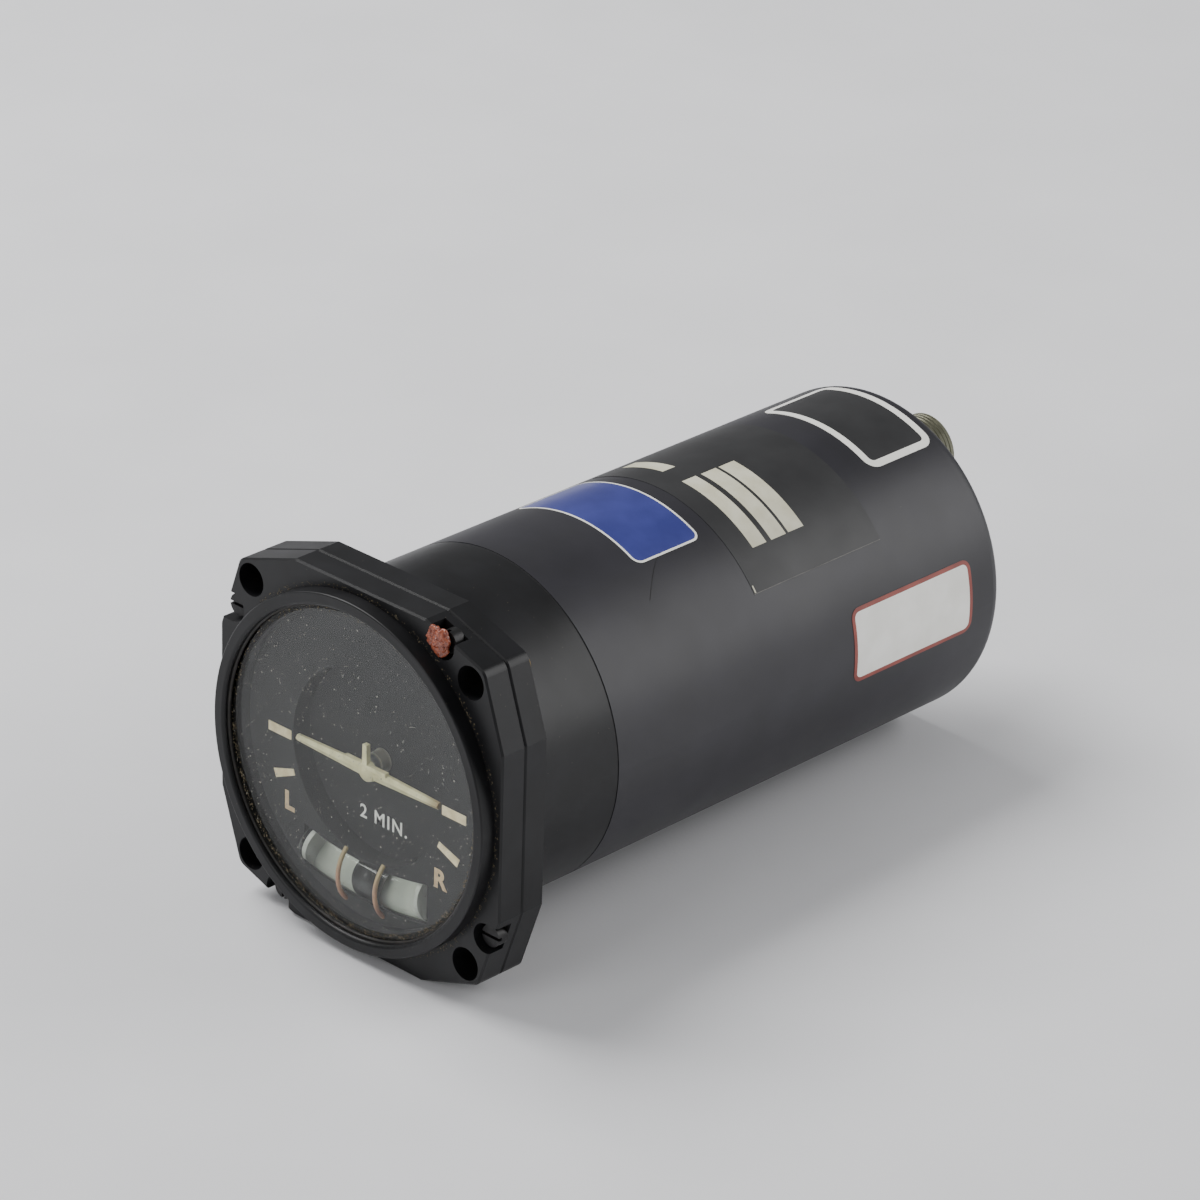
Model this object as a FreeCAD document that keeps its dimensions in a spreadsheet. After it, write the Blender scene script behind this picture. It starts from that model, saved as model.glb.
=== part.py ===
import FreeCAD, Part
import math
import os

import Sketcher
from types import SimpleNamespace

# Aircraft turn coordinator for a standard 3 1/8 inch panel hole, in millimetres.
# The origin is the centre of the panel face of the square front, where it meets the panel.
# The dial looks along -Y, the case runs back along +Y, and +Z is up on the dial.

os.makedirs("parts", exist_ok=True)
doc = FreeCAD.newDocument("TurnCoordinator")
sheet = doc.addObject("Spreadsheet::Sheet", "Sizes")

# Driving sizes: name, millimetres or degrees, and what it is.
SIZES = (
    ("flange_half", 40.64, "half of the square front across its flats"),
    ("side_step", 22.06, "start of the blunt corners inside the flat sides"),
    ("corner_step", 5.6, "tip of each blunt corner inside the flat sides"),
    ("corner_round", 2.6, "rounding of the blunt corners"),
    ("edge_chamfer", 0.4, "chamfer round both square flanges"),
    ("bezel_depth", 6.4, "depth of the front frame behind the panel face"),
    ("rear_flange_depth", 6.08, "depth of the square part of the housing"),
    ("rim_step", 1.8, "round rim that fills the panel hole, inside the flat sides"),
    ("rim_height", 3.56, "height of the rim in front of the panel face"),
    ("rim_wall", 2.84, "wall of the rim round the glass"),
    ("rim_round", 0.8, "rounding of the rim's inner front edge"),
    ("rim_edge", 0.35, "rounding of the rim's outer front edge"),
    ("mount_step", 9.21, "each mounting hole inside the flat sides, both ways"),
    ("mount_hole", 3.6, "radius of the mounting holes in the front frame"),
    ("nut_radius", 3.3, "radius of the pressed-in mounting nuts"),
    ("nut_bore", 1.4, "radius of the thread in the nuts"),
    ("nut_recess", 1.1, "nuts behind the joint face"),
    ("nut_collar", 0.3, "collar of the nuts beyond their outside"),
    ("nut_collar_thick", 0.6, "thickness of that collar"),
    ("notch_along", 8.03, "screw notch from the mounting hole along its side"),
    ("notch_step", 3.74, "screw notch inside its flat side"),
    ("notch_radius", 3.3, "radius of the notches"),
    ("notch_depth", 4.0, "depth of the notches"),
    ("screw_radius", 1.4, "shank of the case screws"),
    ("screw_head", 2.4, "head of the case screws"),
    ("screw_head_height", 2.5, "height of those heads"),
    ("screw_grip", 6.6, "length of their shanks"),
    ("slot_width", 0.7, "width of a driver slot"),
    ("slot_depth", 0.8, "depth of a driver slot"),
    ("fit_gap", 0.1, "clearance where one part slides into another"),
    ("running_gap", 0.05, "radial clearance of the journals"),
    ("glass_front", 1.6, "front of the glass before the panel face"),
    ("glass_thick", 1.3, "thickness of the glass"),
    ("gasket_thick", 0.8, "thickness of the glass gasket"),
    ("web_thick", 2.4, "web of the frame between gasket and dial"),
    ("web_step", 1.5, "width of that web inside the rim's bore"),
    ("wire_radius", 0.42, "radius of the retaining wire"),
    ("wire_gap_angle", 12.0, "gap between the ends of the retaining wire"),
    ("dial_step", 0.1, "dial plate beyond the rim's bore"),
    ("dial_thick", 0.6, "thickness of the dial plate"),
    ("well_gap", 0.5, "sunk middle of the dial above the inclinometer tube"),
    ("well_depth", 4.7, "depth of that well"),
    ("well_wall", 0.4, "wall round the well"),
    ("well_floor", 0.8, "floor of the well"),
    ("mark_gap", 0.5, "level marks outside the well"),
    ("mark_length", 6.7, "length of the level marks"),
    ("mark_width", 2.1, "width of the level marks"),
    ("mark_thick", 0.15, "paint thickness of the marks"),
    ("mark_drop", 21.2, "angle of the standard-rate marks below level"),
    ("wing_level", 1.1, "wing of the aeroplane below the centre"),
    ("tube_radius", 4.6, "outside of the inclinometer tube"),
    ("tube_bore", 4.3, "inside of the inclinometer tube"),
    ("tube_bend", 76.3, "radius of the bend of the tube"),
    ("tube_step", 8.0, "lowest point of the tube's centre line inside the web"),
    ("tube_depth", 2.8, "centre line of the tube behind the dial face"),
    ("tube_half", 16.85, "half of the length of the tube"),
    ("window_gap", 1.1, "window of the dial beyond the ends of the tube"),
    ("window_reach", 4.4, "half of the height of the window"),
    ("ball_radius", 4.1, "radius of the ball"),
    ("plug_angle", 0.8, "arc of each end plug"),
    ("trough_more", 1.25, "trough beyond the ends of the tube"),
    ("trough_wall", 0.4, "wall of the white trough behind the tube"),
    ("wire_place", 5.4, "each centring wire from the middle"),
    ("centring_wire", 0.5, "radius of the centring wires"),
    ("wire_gap", 0.15, "centring wires in front of the tube"),
    ("wire_flatness", 2.95, "centre of the wires' bend behind the tube's"),
    ("wire_sweep", 46.0, "half of each centring wire's arc before its feet are cut"),
    ("case_step", 3.89, "round housing and can inside the flat sides"),
    ("seam_place", 37.1, "joint of housing and can behind the panel face"),
    ("housing_wall", 2.4, "wall of the housing"),
    ("front_wall", 1.35, "wall of the housing behind the dial"),
    ("front_bore_depth", 6.6, "depth of that bore behind the joint face"),
    ("shelf_width", 7.35, "width of the shelf inside the housing"),
    ("shelf_thick", 5.0, "thickness of the shelf"),
    ("shelf_behind", 1.9, "rear face of the shelf behind the seam"),
    ("spigot_reach", 6.5, "spigot of the housing inside the can"),
    ("case_gasket_thick", 0.4, "thickness of the gasket in the seam"),
    ("can_wall", 1.2, "wall of the can"),
    ("can_length", 119.8, "length of the can"),
    ("can_end", 1.5, "rear wall of the can"),
    ("can_round", 3.0, "rounding of the can's rear edge"),
    ("plate_thick", 2.5, "thickness of both mechanism plates"),
    ("plate_screw_edge", 3.75, "front plate screws inside the housing's bore"),
    ("plate_room", 14.0, "room between the plates beyond the length of the gimbal frame"),
    ("post_edge", 4.5, "posts inside the rear plate's edge"),
    ("post_radius", 2.2, "radius of the posts"),
    ("rear_plate_gap", 2.55, "rear plate inside the can"),
    ("small_screw", 1.1, "shank of the small screws"),
    ("small_head", 2.1, "head of the small screws"),
    ("small_head_height", 1.4, "height of the small heads"),
    ("small_grip", 4.5, "hold of the small screws"),
    ("gimbal_shift", 0.5, "centre of the gyro behind the middle between the plates"),
    ("cant", 30.0, "upward tilt of the gimbal axis at its front"),
    ("gimbal_gap", 10.75, "half length of the gimbal frame less than the case's radius"),
    ("gimbal_narrow", 4.0, "half width of the gimbal frame less than its half length"),
    ("gimbal_thick", 9.0, "thickness of the gimbal frame"),
    ("gimbal_side", 3.5, "side bars of the gimbal"),
    ("gimbal_bar", 5.0, "end bars of the gimbal"),
    ("journal", 1.5, "radius of the gimbal pivots"),
    ("pivot_ring", 3.6, "outside of the pivot bearings"),
    ("ring_width", 2.5, "width of the ball bearings"),
    ("front_boss_gap", 3.5, "front pivot boss from the gimbal frame"),
    ("rear_boss_gap", 5.2, "rear pivot boss from the gimbal frame"),
    ("boss_radius", 5.5, "radius of the pivot bosses"),
    ("rotor_gap", 4.0, "gyro rotor inside the end bars of the gimbal"),
    ("rotor_half", 10.0, "half width of the rotor"),
    ("rotor_rim", 4.4, "thickness of the rotor's rim"),
    ("rotor_web", 2.4, "half thickness of the rotor's web"),
    ("rotor_hub", 3.4, "radius of the rotor's hub"),
    ("shaft_radius", 1.0, "radius of the rotor shaft"),
    ("shaft_ring", 3.0, "outside of the rotor bearings"),
    ("air_gap", 0.8, "motor's magnet inside the rotor's rim"),
    ("stator_bore", 4.2, "bore of the magnet"),
    ("pin_reach", 3.0, "drive pin's ball in front of its arm"),
    ("pin_drop", 7.65, "drive pin below the pointer's axis"),
    ("pin_ball", 1.0, "radius of the drive pin's ball"),
    ("pin_stalk", 0.55, "radius of its stalk"),
    ("arm_step", 0.483, "front of the pin's arm before the end of the gimbal frame"),
    ("arm_thick", 2.0, "thickness of that arm"),
    ("arm_half", 2.5, "half width of that arm"),
    ("slot_gap", 0.12, "play of the ball in the fork"),
    ("fork_thick", 2.0, "thickness of the pointer's fork"),
    ("spindle_radius", 0.8, "radius of the pointer spindle"),
    ("sleeve_radius", 2.35, "outside of the spindle's sleeve"),
    ("sleeve_front", 5.2, "front end of the sleeve"),
    ("sleeve_collar", 0.2, "collar of the sleeve on the floor of the well, each way"),
    ("sleeve_foot", 7.0, "radius of the sleeve's foot"),
    ("bush_length", 3.0, "length of the spindle bushes"),
    ("bush_radius", 1.6, "outside of the spindle bushes"),
    ("wing_gap", 0.9, "wing tips of the miniature aeroplane inside the well"),
    ("wing_front", 2.7, "front of the wing behind the panel face"),
    ("wing_thick", 1.1, "depth of the wing"),
    ("wing_root", 2.8, "height of the wing at its root"),
    ("wing_tip", 1.4, "height of the wing at its tip"),
    ("tail_half", 6.0, "half span of the tailplane"),
    ("fin_top", 5.2, "top of the fin above the centre"),
    ("fin_half", 0.7, "half thickness of the fin"),
    ("spring_turns", 4.0, "turns of the centring hairspring"),
    ("spring_inner", 2.6, "inner radius of the hairspring"),
    ("spring_pitch", 1.0, "spacing of its turns"),
    ("spring_strip", 0.3, "thickness of its strip"),
    ("spring_width", 1.4, "width of its strip"),
    ("damper_radius", 7.0, "radius of the damper disc"),
    ("damper_gap", 0.4, "fluid gap round the damper disc"),
    ("connector_step", 18.45, "connector's axis inside the can's outside"),
    ("connector_flange", 12.2, "half of the connector's square flange"),
    ("connector_plate", 2.0, "thickness of that flange"),
    ("connector_radius", 7.94, "outside of the connector's shell"),
    ("connector_bore", 6.6, "inside of the shell"),
    ("connector_reach", 13.9, "shell behind its flange"),
    ("shell_chamfer", 0.5, "chamfer of the shell's rear end"),
    ("relief_width", 2.6, "relief groove of the shell behind its flange"),
    ("relief_depth", 0.7, "depth of that groove"),
    ("key_width", 2.0, "width of the polarising key inside the shell"),
    ("key_height", 0.9, "height of that key"),
    ("connector_body", 6.0, "shell in front of its flange, inside the can"),
    ("insert_depth", 9.0, "socket's free depth"),
    ("contact_circle", 3.5, "contacts from the connector's axis"),
    ("contact_radius", 0.8, "radius of the contacts"),
    ("contact_reach", 7.5, "contacts in front of the insert's face"),
    ("flange_screw_offset", 9.1, "connector screws from its axis, both ways"),
    ("standoff_radius", 3.0, "radius of the standoffs behind the rear plate"),
    ("standoff_step", 12.0, "standoffs inside the rear plate's edge, sideways"),
    ("standoff_down", 13.0, "standoffs below the centre"),
    ("board_place", 10.0, "circuit board behind the rear plate"),
    ("board_thick", 1.6, "thickness of the circuit board"),
    ("board_edge", 5.0, "circuit board beyond its standoffs and the connector's axis"),
    ("board_cut", 8.0, "cut corners at the top of the circuit board"),
    ("capacitor_radius", 6.3, "radius of the filter capacitor"),
    ("capacitor_length", 19.0, "length of the filter capacitor"),
)


class Size:
    """A named size, or a sum of them, that keeps its formula so that the model follows the sheet."""

    def __init__(self, text, value):
        self.text = text
        self.value = value

    def __add__(self, other):
        other = as_size(other)
        return Size("(%s + %s)" % (self.text, other.text), self.value + other.value)

    def __sub__(self, other):
        other = as_size(other)
        return Size("(%s - %s)" % (self.text, other.text), self.value - other.value)

    def __mul__(self, other):
        other = as_size(other)
        return Size("(%s * %s)" % (self.text, other.text), self.value * other.value)

    def __truediv__(self, other):
        other = as_size(other)
        return Size("(%s / %s)" % (self.text, other.text), self.value / other.value)

    def __neg__(self):
        return Size("(0 - %s)" % self.text, -self.value)

    def __radd__(self, other):
        return as_size(other) + self

    def __rsub__(self, other):
        return as_size(other) - self

    def __rmul__(self, other):
        return as_size(other) * self


def as_size(value):
    if isinstance(value, Size):
        return value
    return Size("%.6f" % value, float(value))


def cos_of(angle):
    return Size("cos(%s * 1 deg)" % angle.text, math.cos(math.radians(angle.value)))


def sin_of(angle):
    return Size("sin(%s * 1 deg)" % angle.text, math.sin(math.radians(angle.value)))


def arc_of(half, radius):
    """Degrees of the arc whose end lies this far to one side."""
    value = math.degrees(math.asin(half.value / radius.value))
    return Size("(asin(%s / %s) / 1 deg)" % (half.text, radius.text), value)


def root_of(value):
    return Size("sqrt(%s)" % value.text, math.sqrt(value.value))


mm = SimpleNamespace()
for row, (name, value, meaning) in enumerate(SIZES, start=1):
    sheet.set("A%d" % row, meaning)
    sheet.set("B%d" % row, str(value))
    sheet.setAlias("B%d" % row, name)
    setattr(mm, name, Size("Sizes." + name, float(value)))
doc.recompute()

# Radii and offsets that follow the square front, so that the whole case changes with it.
flange_flat = mm.flange_half - mm.side_step
flange_corner = mm.flange_half - mm.corner_step
rim_radius = mm.flange_half - mm.rim_step
rim_bore = rim_radius - mm.rim_wall
web_bore = rim_bore - mm.web_step
mount_offset = mm.flange_half - mm.mount_step
notch_across = mount_offset - mm.notch_along
notch_out = mm.flange_half - mm.notch_step
dial_radius = rim_bore + mm.dial_step
case_radius = mm.flange_half - mm.case_step
housing_bore = case_radius - mm.housing_wall
front_bore = case_radius - mm.front_wall
shelf_bore = housing_bore - mm.shelf_width
plate_screw_circle = housing_bore - mm.plate_screw_edge
can_inside = case_radius - mm.can_wall
rear_plate_radius = can_inside - mm.rear_plate_gap
post_circle = rear_plate_radius - mm.post_edge
standoff_across = rear_plate_radius - mm.standoff_step
connector_up = case_radius - mm.connector_step

# The inclinometer hangs from the web, and the well, the aeroplane and its marks fit above it.
tube_low = web_bore - mm.tube_step
tube_angle = arc_of(mm.tube_half, mm.tube_bend)
window_half = mm.tube_half + mm.window_gap
trough_angle = arc_of(mm.tube_half + mm.trough_more, mm.tube_bend)
well_radius = tube_low - mm.tube_radius - mm.well_gap
mark_inner = well_radius + mm.mark_gap
mark_outer = mark_inner + mm.mark_length
wing_span = well_radius - mm.wing_gap

# The gimbal frame follows the case, and the rotor, plates, bosses and drive pin follow the frame.
gimbal_long = case_radius - mm.gimbal_gap
gimbal_wide = gimbal_long - mm.gimbal_narrow
rotor_radius = gimbal_long - mm.gimbal_bar - mm.rotor_gap
rim_inner = rotor_radius - mm.rotor_rim
stator_radius = rim_inner - mm.air_gap
plate_span = gimbal_long * 2 + mm.plate_room
front_plate_back = mm.seam_place + mm.shelf_behind + mm.plate_thick
gimbal_place = front_plate_back + plate_span / 2 + mm.gimbal_shift
front_boss_start = gimbal_long + mm.front_boss_gap
rear_boss_start = gimbal_long + mm.rear_boss_gap
arm_place = gimbal_place - cos_of(mm.cant) * gimbal_long - mm.arm_step
pin_place = arm_place - mm.pin_reach

# Places that follow from the sizes, each measured from the panel face.
glass_back = mm.glass_thick - mm.glass_front
web_front = glass_back + mm.gasket_thick
dial_face = web_front + mm.web_thick
dial_back = dial_face + mm.dial_thick
well_face = dial_face + mm.well_depth
well_back = well_face + mm.well_floor
flange_back = mm.bezel_depth + mm.rear_flange_depth
shelf_back = mm.seam_place + mm.shelf_behind
spigot_end = mm.seam_place + mm.spigot_reach
spigot_radius = can_inside - mm.fit_gap
can_back = mm.seam_place + mm.can_length
rear_plate_front = front_plate_back + plate_span
rear_plate_back = rear_plate_front + mm.plate_thick
tube_centre = mm.tube_bend - tube_low
tube_plane = dial_face + mm.tube_depth
cant_turn = -mm.cant
gyro_centre = (0, gimbal_place, 0)

subparts = []
VERTICAL = "V_Axis"
ACROSS = "H_Axis"


def bind(thing, path, size):
    """Give a property its value and let it follow the sheet."""
    if isinstance(size, Size):
        thing.setExpression(path, size.text)


def new_body(label):
    body = doc.addObject("PartDesign::Body", "Body_" + label)
    body.Label = label
    body.AllowCompound = True
    subparts.append(body)
    return body


def sketch_in(body, plane, name, at=(0, 0, 0), tilt=None):
    """A sketch parallel to one of the body's planes, through a point, perhaps tilted about X."""
    sketch = body.newObject("Sketcher::SketchObject", name)
    for feature in body.Origin.OriginFeatures:
        if feature.Role == plane:
            sketch.AttachmentSupport = [(feature, "")]
    sketch.MapMode = "FlatFace"
    x, y, z = (as_size(value) for value in at)
    local = {"XY_Plane": (x, y, z), "XZ_Plane": (x, z, -y), "YZ_Plane": (y, z, x)}[plane]
    turn = tilt.value if tilt else 0.0
    sketch.AttachmentOffset = FreeCAD.Placement(
        FreeCAD.Vector(*[value.value for value in local]),
        FreeCAD.Rotation(FreeCAD.Vector(1, 0, 0), turn),
    )
    for letter, value in zip("xyz", local):
        bind(sketch, "AttachmentOffset.Base." + letter, value)
    if tilt:
        bind(sketch, "AttachmentOffset.Rotation.Angle", tilt)
    return sketch


def hold(sketch, kind, places, size):
    """Add one dimension to a sketch."""
    size = as_size(size)
    row = sketch.addConstraint(Sketcher.Constraint(kind, *places, size.value))
    bind(sketch, "Constraints[%d]" % row, size)


def hold_point(sketch, shape, end, x, y):
    """Fix one point of a sketch by its two distances from the sketch's origin."""
    for kind, axis, value in (("DistanceX", -2, x), ("DistanceY", -1, y)):
        if isinstance(value, Size):
            hold(sketch, kind, (-1, 1, shape, end), value)
        elif value == 0:
            sketch.addConstraint(Sketcher.Constraint("PointOnObject", shape, end, axis))
        else:
            hold(sketch, kind, (-1, 1, shape, end), value)


def outline(sketch, points):
    """Closed straight-sided outline."""
    ends = [FreeCAD.Vector(as_size(x).value, as_size(y).value, 0) for x, y in points]
    first = sketch.GeometryCount
    count = len(ends)
    for i in range(count):
        sketch.addGeometry(Part.LineSegment(ends[i], ends[(i + 1) % count]))
    for i in range(count):
        sketch.addConstraint(
            Sketcher.Constraint("Coincident", first + i, 2, first + (i + 1) % count, 1)
        )
    for i, (x, y) in enumerate(points):
        hold_point(sketch, first + i, 1, x, y)


def circle(sketch, x, y, radius):
    centre = FreeCAD.Vector(as_size(x).value, as_size(y).value, 0)
    radius = as_size(radius)
    shape = sketch.addGeometry(Part.Circle(centre, FreeCAD.Vector(0, 0, 1), radius.value))
    hold_point(sketch, shape, 3, x, y)
    hold(sketch, "Radius", (shape,), radius)


def bent_window(sketch, centre, inner, outer, half):
    """Outline between two arcs about one centre on the vertical axis, closed by upright ends."""
    middle = FreeCAD.Vector(0, centre.value, 0)
    arcs = []
    for radius in (inner, outer):
        spread = math.asin(half.value / radius.value)
        round_shape = Part.Circle(middle, FreeCAD.Vector(0, 0, 1), radius.value)
        down = -math.pi / 2
        arcs.append(sketch.addGeometry(Part.ArcOfCircle(round_shape, down - spread, down + spread)))
    for side in (-1, 1):
        heights = [centre.value - math.sqrt(r.value ** 2 - half.value ** 2) for r in (inner, outer)]
        ends = [FreeCAD.Vector(side * half.value, height, 0) for height in heights]
        line = sketch.addGeometry(Part.LineSegment(ends[0], ends[1]))
        arc_end = 1 if side < 0 else 2
        sketch.addConstraint(Sketcher.Constraint("Coincident", line, 1, arcs[0], arc_end))
        sketch.addConstraint(Sketcher.Constraint("Coincident", line, 2, arcs[1], arc_end))
        sketch.addConstraint(Sketcher.Constraint("Vertical", line))
        hold(sketch, "DistanceX", (-1, 1, line, 1), half * side)
    for arc, radius in zip(arcs, (inner, outer)):
        hold_point(sketch, arc, 3, 0, centre)
        hold(sketch, "Radius", (arc,), radius)


def extrude(body, kind, sketch, length=None, reverse=False, both=False):
    """Pad or Pocket; a Pocket with no length goes through everything."""
    feature = body.newObject("PartDesign::" + kind, kind + "_" + sketch.Name)
    feature.Profile = sketch
    if length is None:
        feature.Type = "ThroughAll"
    else:
        feature.Length = as_size(length).value
        bind(feature, "Length", length)
    feature.SideType = "Symmetric" if both else "One side"
    feature.Reversed = reverse
    body.Tip = feature
    return feature


def spin(body, kind, sketch, axis=VERTICAL, angle=360.0):
    """Revolution or Groove about one of the sketch's own axes."""
    feature = body.newObject("PartDesign::" + kind, kind + "_" + sketch.Name)
    feature.Profile = sketch
    feature.ReferenceAxis = (sketch, [axis])
    feature.Angle = as_size(angle).value
    bind(feature, "Angle", angle)
    body.Tip = feature
    return feature


def around(body, features, count):
    """Repeat features about the instrument's own axis."""
    pattern = body.newObject("PartDesign::PolarPattern", "Pattern_" + features[-1].Name)
    pattern.Originals = features
    for feature in body.Origin.OriginFeatures:
        if feature.Role == "Y_Axis":
            pattern.Axis = (feature, [""])
    pattern.Angle = 360
    pattern.Occurrences = count
    body.Tip = pattern
    return pattern


def mirrored(body, features, plane="YZ_Plane"):
    """Repeat features on the other side of one of the body's planes."""
    mirror = body.newObject("PartDesign::Mirrored", "Mirror_" + features[-1].Name)
    mirror.Originals = features
    for feature in body.Origin.OriginFeatures:
        if feature.Role == plane:
            mirror.MirrorPlane = (feature, [""])
    body.Tip = mirror
    return mirror


def dressed(body, kind, test, size, name):
    """Fillet or Chamfer on the edges of the present shape that pass a test."""
    doc.recompute()
    base = body.Tip
    edges = ["Edge%d" % (i + 1) for i, edge in enumerate(base.Shape.Edges) if test(edge)]
    feature = body.newObject("PartDesign::" + kind, kind + "_" + name)
    feature.Base = (base, edges)
    path = "Radius" if kind == "Fillet" else "Size"
    setattr(feature, path, as_size(size).value)
    bind(feature, path, size)
    body.Tip = feature
    return feature


def turned(label, points, x=0, z=0, tilt=None, centre_y=0):
    """A body turned about an axis along the case, from (radius, distance back) points."""
    body = new_body(label)
    sketch = sketch_in(body, "XY_Plane", "Profile_" + label, (x, centre_y, z), tilt)
    outline(sketch, points)
    spin(body, "Revolution", sketch)
    return body


def ring(inner, outer, front, back):
    """Section of a plain ring, for a body turned about an axis."""
    return [(inner, front), (outer, front), (outer, back), (inner, back)]


def square_front(sketch):
    """The twelve-sided outline of the instrument's front."""
    side, flat, blunt = mm.flange_half, flange_flat, flange_corner
    quarter = [(flat, side), (blunt, blunt), (side, flat)]
    points = list(quarter)
    points += [(x, -z) for x, z in reversed(quarter)]
    points += [(-x, -z) for x, z in quarter]
    points += [(-x, z) for x, z in reversed(quarter)]
    outline(sketch, points)


def blunt_corner(edge):
    """True for the four long edges at the blunt corners of the square front."""
    ends = [vertex.Point for vertex in edge.Vertexes]
    corner = flange_corner.value
    on_corner = [abs(abs(p.x) - corner) < 0.01 and abs(abs(p.z) - corner) < 0.01 for p in ends]
    return len(ends) == 2 and all(on_corner) and abs(ends[0].y - ends[1].y) > 1.0


def flange_edge(front, back):
    """Test for the edges of the outline on the front and on the back of a square flange."""
    depths = [as_size(front).value, as_size(back).value]

    def test(edge):
        ends = [vertex.Point for vertex in edge.Vertexes]
        return any(all(abs(p.y - depth) < 0.01 for p in ends) for depth in depths)
    return test


def round_at(radius, y):
    """Test for full circles about the instrument's axis with this radius at this depth."""
    def test(edge):
        if not isinstance(edge.Curve, Part.Circle):
            return False
        middle = edge.Curve.Center
        near = abs(middle.x) < 0.01 and abs(middle.z) < 0.01 and abs(middle.y - y) < 0.01
        return near and abs(edge.Curve.Radius - radius) < 0.01
    return test


# Front frame: the square with blunt corners, its rim, the glass pocket and the screw holes.
bezel = new_body("bezel_frame")
front = sketch_in(bezel, "XZ_Plane", "FrontOutline")
square_front(front)
extrude(bezel, "Pad", front, mm.bezel_depth, reverse=True)
dressed(bezel, "Fillet", blunt_corner, mm.corner_round, "Corners")
dressed(bezel, "Chamfer", flange_edge(0, mm.bezel_depth), mm.edge_chamfer, "Edges")
rim = sketch_in(bezel, "XY_Plane", "RimSection")
outline(rim, ring(rim_bore - 3.0, rim_radius, -mm.rim_height, mm.bezel_depth / 2))
spin(bezel, "Revolution", rim)
bore = sketch_in(bezel, "XY_Plane", "BoreSection")
wire_front = -(mm.glass_front + mm.wire_radius * 2)
outline(bore, [
    (0, -(mm.rim_height + 1)),
    (rim_bore, -(mm.rim_height + 1)),
    (rim_bore, wire_front),
    (rim_bore + mm.wire_radius, wire_front),
    (rim_bore + mm.wire_radius, -mm.glass_front),
    (rim_bore, -mm.glass_front),
    (rim_bore, web_front),
    (web_bore, web_front),
    (web_bore, dial_face),
    (dial_radius + mm.fit_gap, dial_face),
    (dial_radius + mm.fit_gap, mm.bezel_depth + 1),
    (0, mm.bezel_depth + 1),
])
spin(bezel, "Groove", bore)
rim_front = -mm.rim_height.value
dressed(bezel, "Fillet", round_at(rim_bore.value, rim_front), mm.rim_round, "RimInside")
dressed(bezel, "Fillet", round_at(rim_radius.value, rim_front), mm.rim_edge, "RimOutside")
holes = sketch_in(bezel, "XZ_Plane", "MountingHole")
circle(holes, mount_offset, mount_offset, mm.mount_hole)
hole_cut = extrude(bezel, "Pocket", holes, mm.bezel_depth)
around(bezel, [hole_cut], 4)
notch = sketch_in(bezel, "XZ_Plane", "ScrewNotch")
circle(notch, notch_across, notch_out, mm.notch_radius)
notch_cut = extrude(bezel, "Pocket", notch, mm.notch_depth)
slot = sketch_in(bezel, "XZ_Plane", "NotchMouth")
outline(slot, [
    (notch_across - mm.notch_radius, notch_out),
    (notch_across + mm.notch_radius, notch_out),
    (notch_across + mm.notch_radius, mm.flange_half + 1),
    (notch_across - mm.notch_radius, mm.flange_half + 1),
])
slot_cut = extrude(bezel, "Pocket", slot, mm.notch_depth)
through = sketch_in(bezel, "XZ_Plane", "ScrewHole")
circle(through, notch_across, notch_out, mm.screw_radius + mm.fit_gap)
through_cut = extrude(bezel, "Pocket", through, mm.bezel_depth)
around(bezel, [notch_cut, slot_cut, through_cut], 4)

# Four slotted screws in the notches that hold the front frame to the housing.
screws = new_body("bezel_screws")
screw_section = sketch_in(screws, "XY_Plane", "ScrewSection", (notch_across, 0, notch_out))
head_front = mm.notch_depth - mm.screw_head_height
screw_end = mm.notch_depth + mm.screw_grip
outline(screw_section, [
    (0, head_front),
    (mm.screw_head, head_front),
    (mm.screw_head, mm.notch_depth),
    (mm.screw_radius, mm.notch_depth),
    (mm.screw_radius, screw_end),
    (0, screw_end),
])
screw_turn = spin(screws, "Revolution", screw_section)
screw_slot = sketch_in(screws, "XZ_Plane", "ScrewSlot", (0, head_front, 0))
outline(screw_slot, [
    (notch_across - mm.slot_width / 2, notch_out - mm.screw_head * 2),
    (notch_across + mm.slot_width / 2, notch_out - mm.screw_head * 2),
    (notch_across + mm.slot_width / 2, notch_out + mm.screw_head * 2),
    (notch_across - mm.slot_width / 2, notch_out + mm.screw_head * 2),
])
screw_cut = extrude(screws, "Pocket", screw_slot, mm.slot_depth)
around(screws, [screw_turn, screw_cut], 4)

# Sealing lacquer over the screw in the upper right notch.
turned("seal_lacquer", [
    (0, head_front - 1.3),
    (mm.screw_head * 0.6, head_front - 1.1),
    (mm.notch_radius - 0.2, head_front - 0.3),
    (mm.notch_radius - 0.2, head_front),
    (0, head_front),
], notch_across, notch_out)

# Glass, its gasket and the wire that keeps it in the rim.
turned("front_glass", [
    (0, -mm.glass_front),
    (rim_bore - mm.fit_gap, -mm.glass_front),
    (rim_bore - mm.fit_gap, glass_back),
    (0, glass_back),
])
turned("glass_gasket", ring(web_bore, rim_bore - mm.fit_gap, glass_back, web_front))
wire = new_body("glass_retaining_ring")
wire_section = sketch_in(wire, "XY_Plane", "WireSection")
circle(wire_section, rim_bore - mm.fit_gap, -(mm.glass_front + mm.wire_radius), mm.wire_radius - 0.02)
spin(wire, "Revolution", wire_section, angle=360 - mm.wire_gap_angle)

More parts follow.
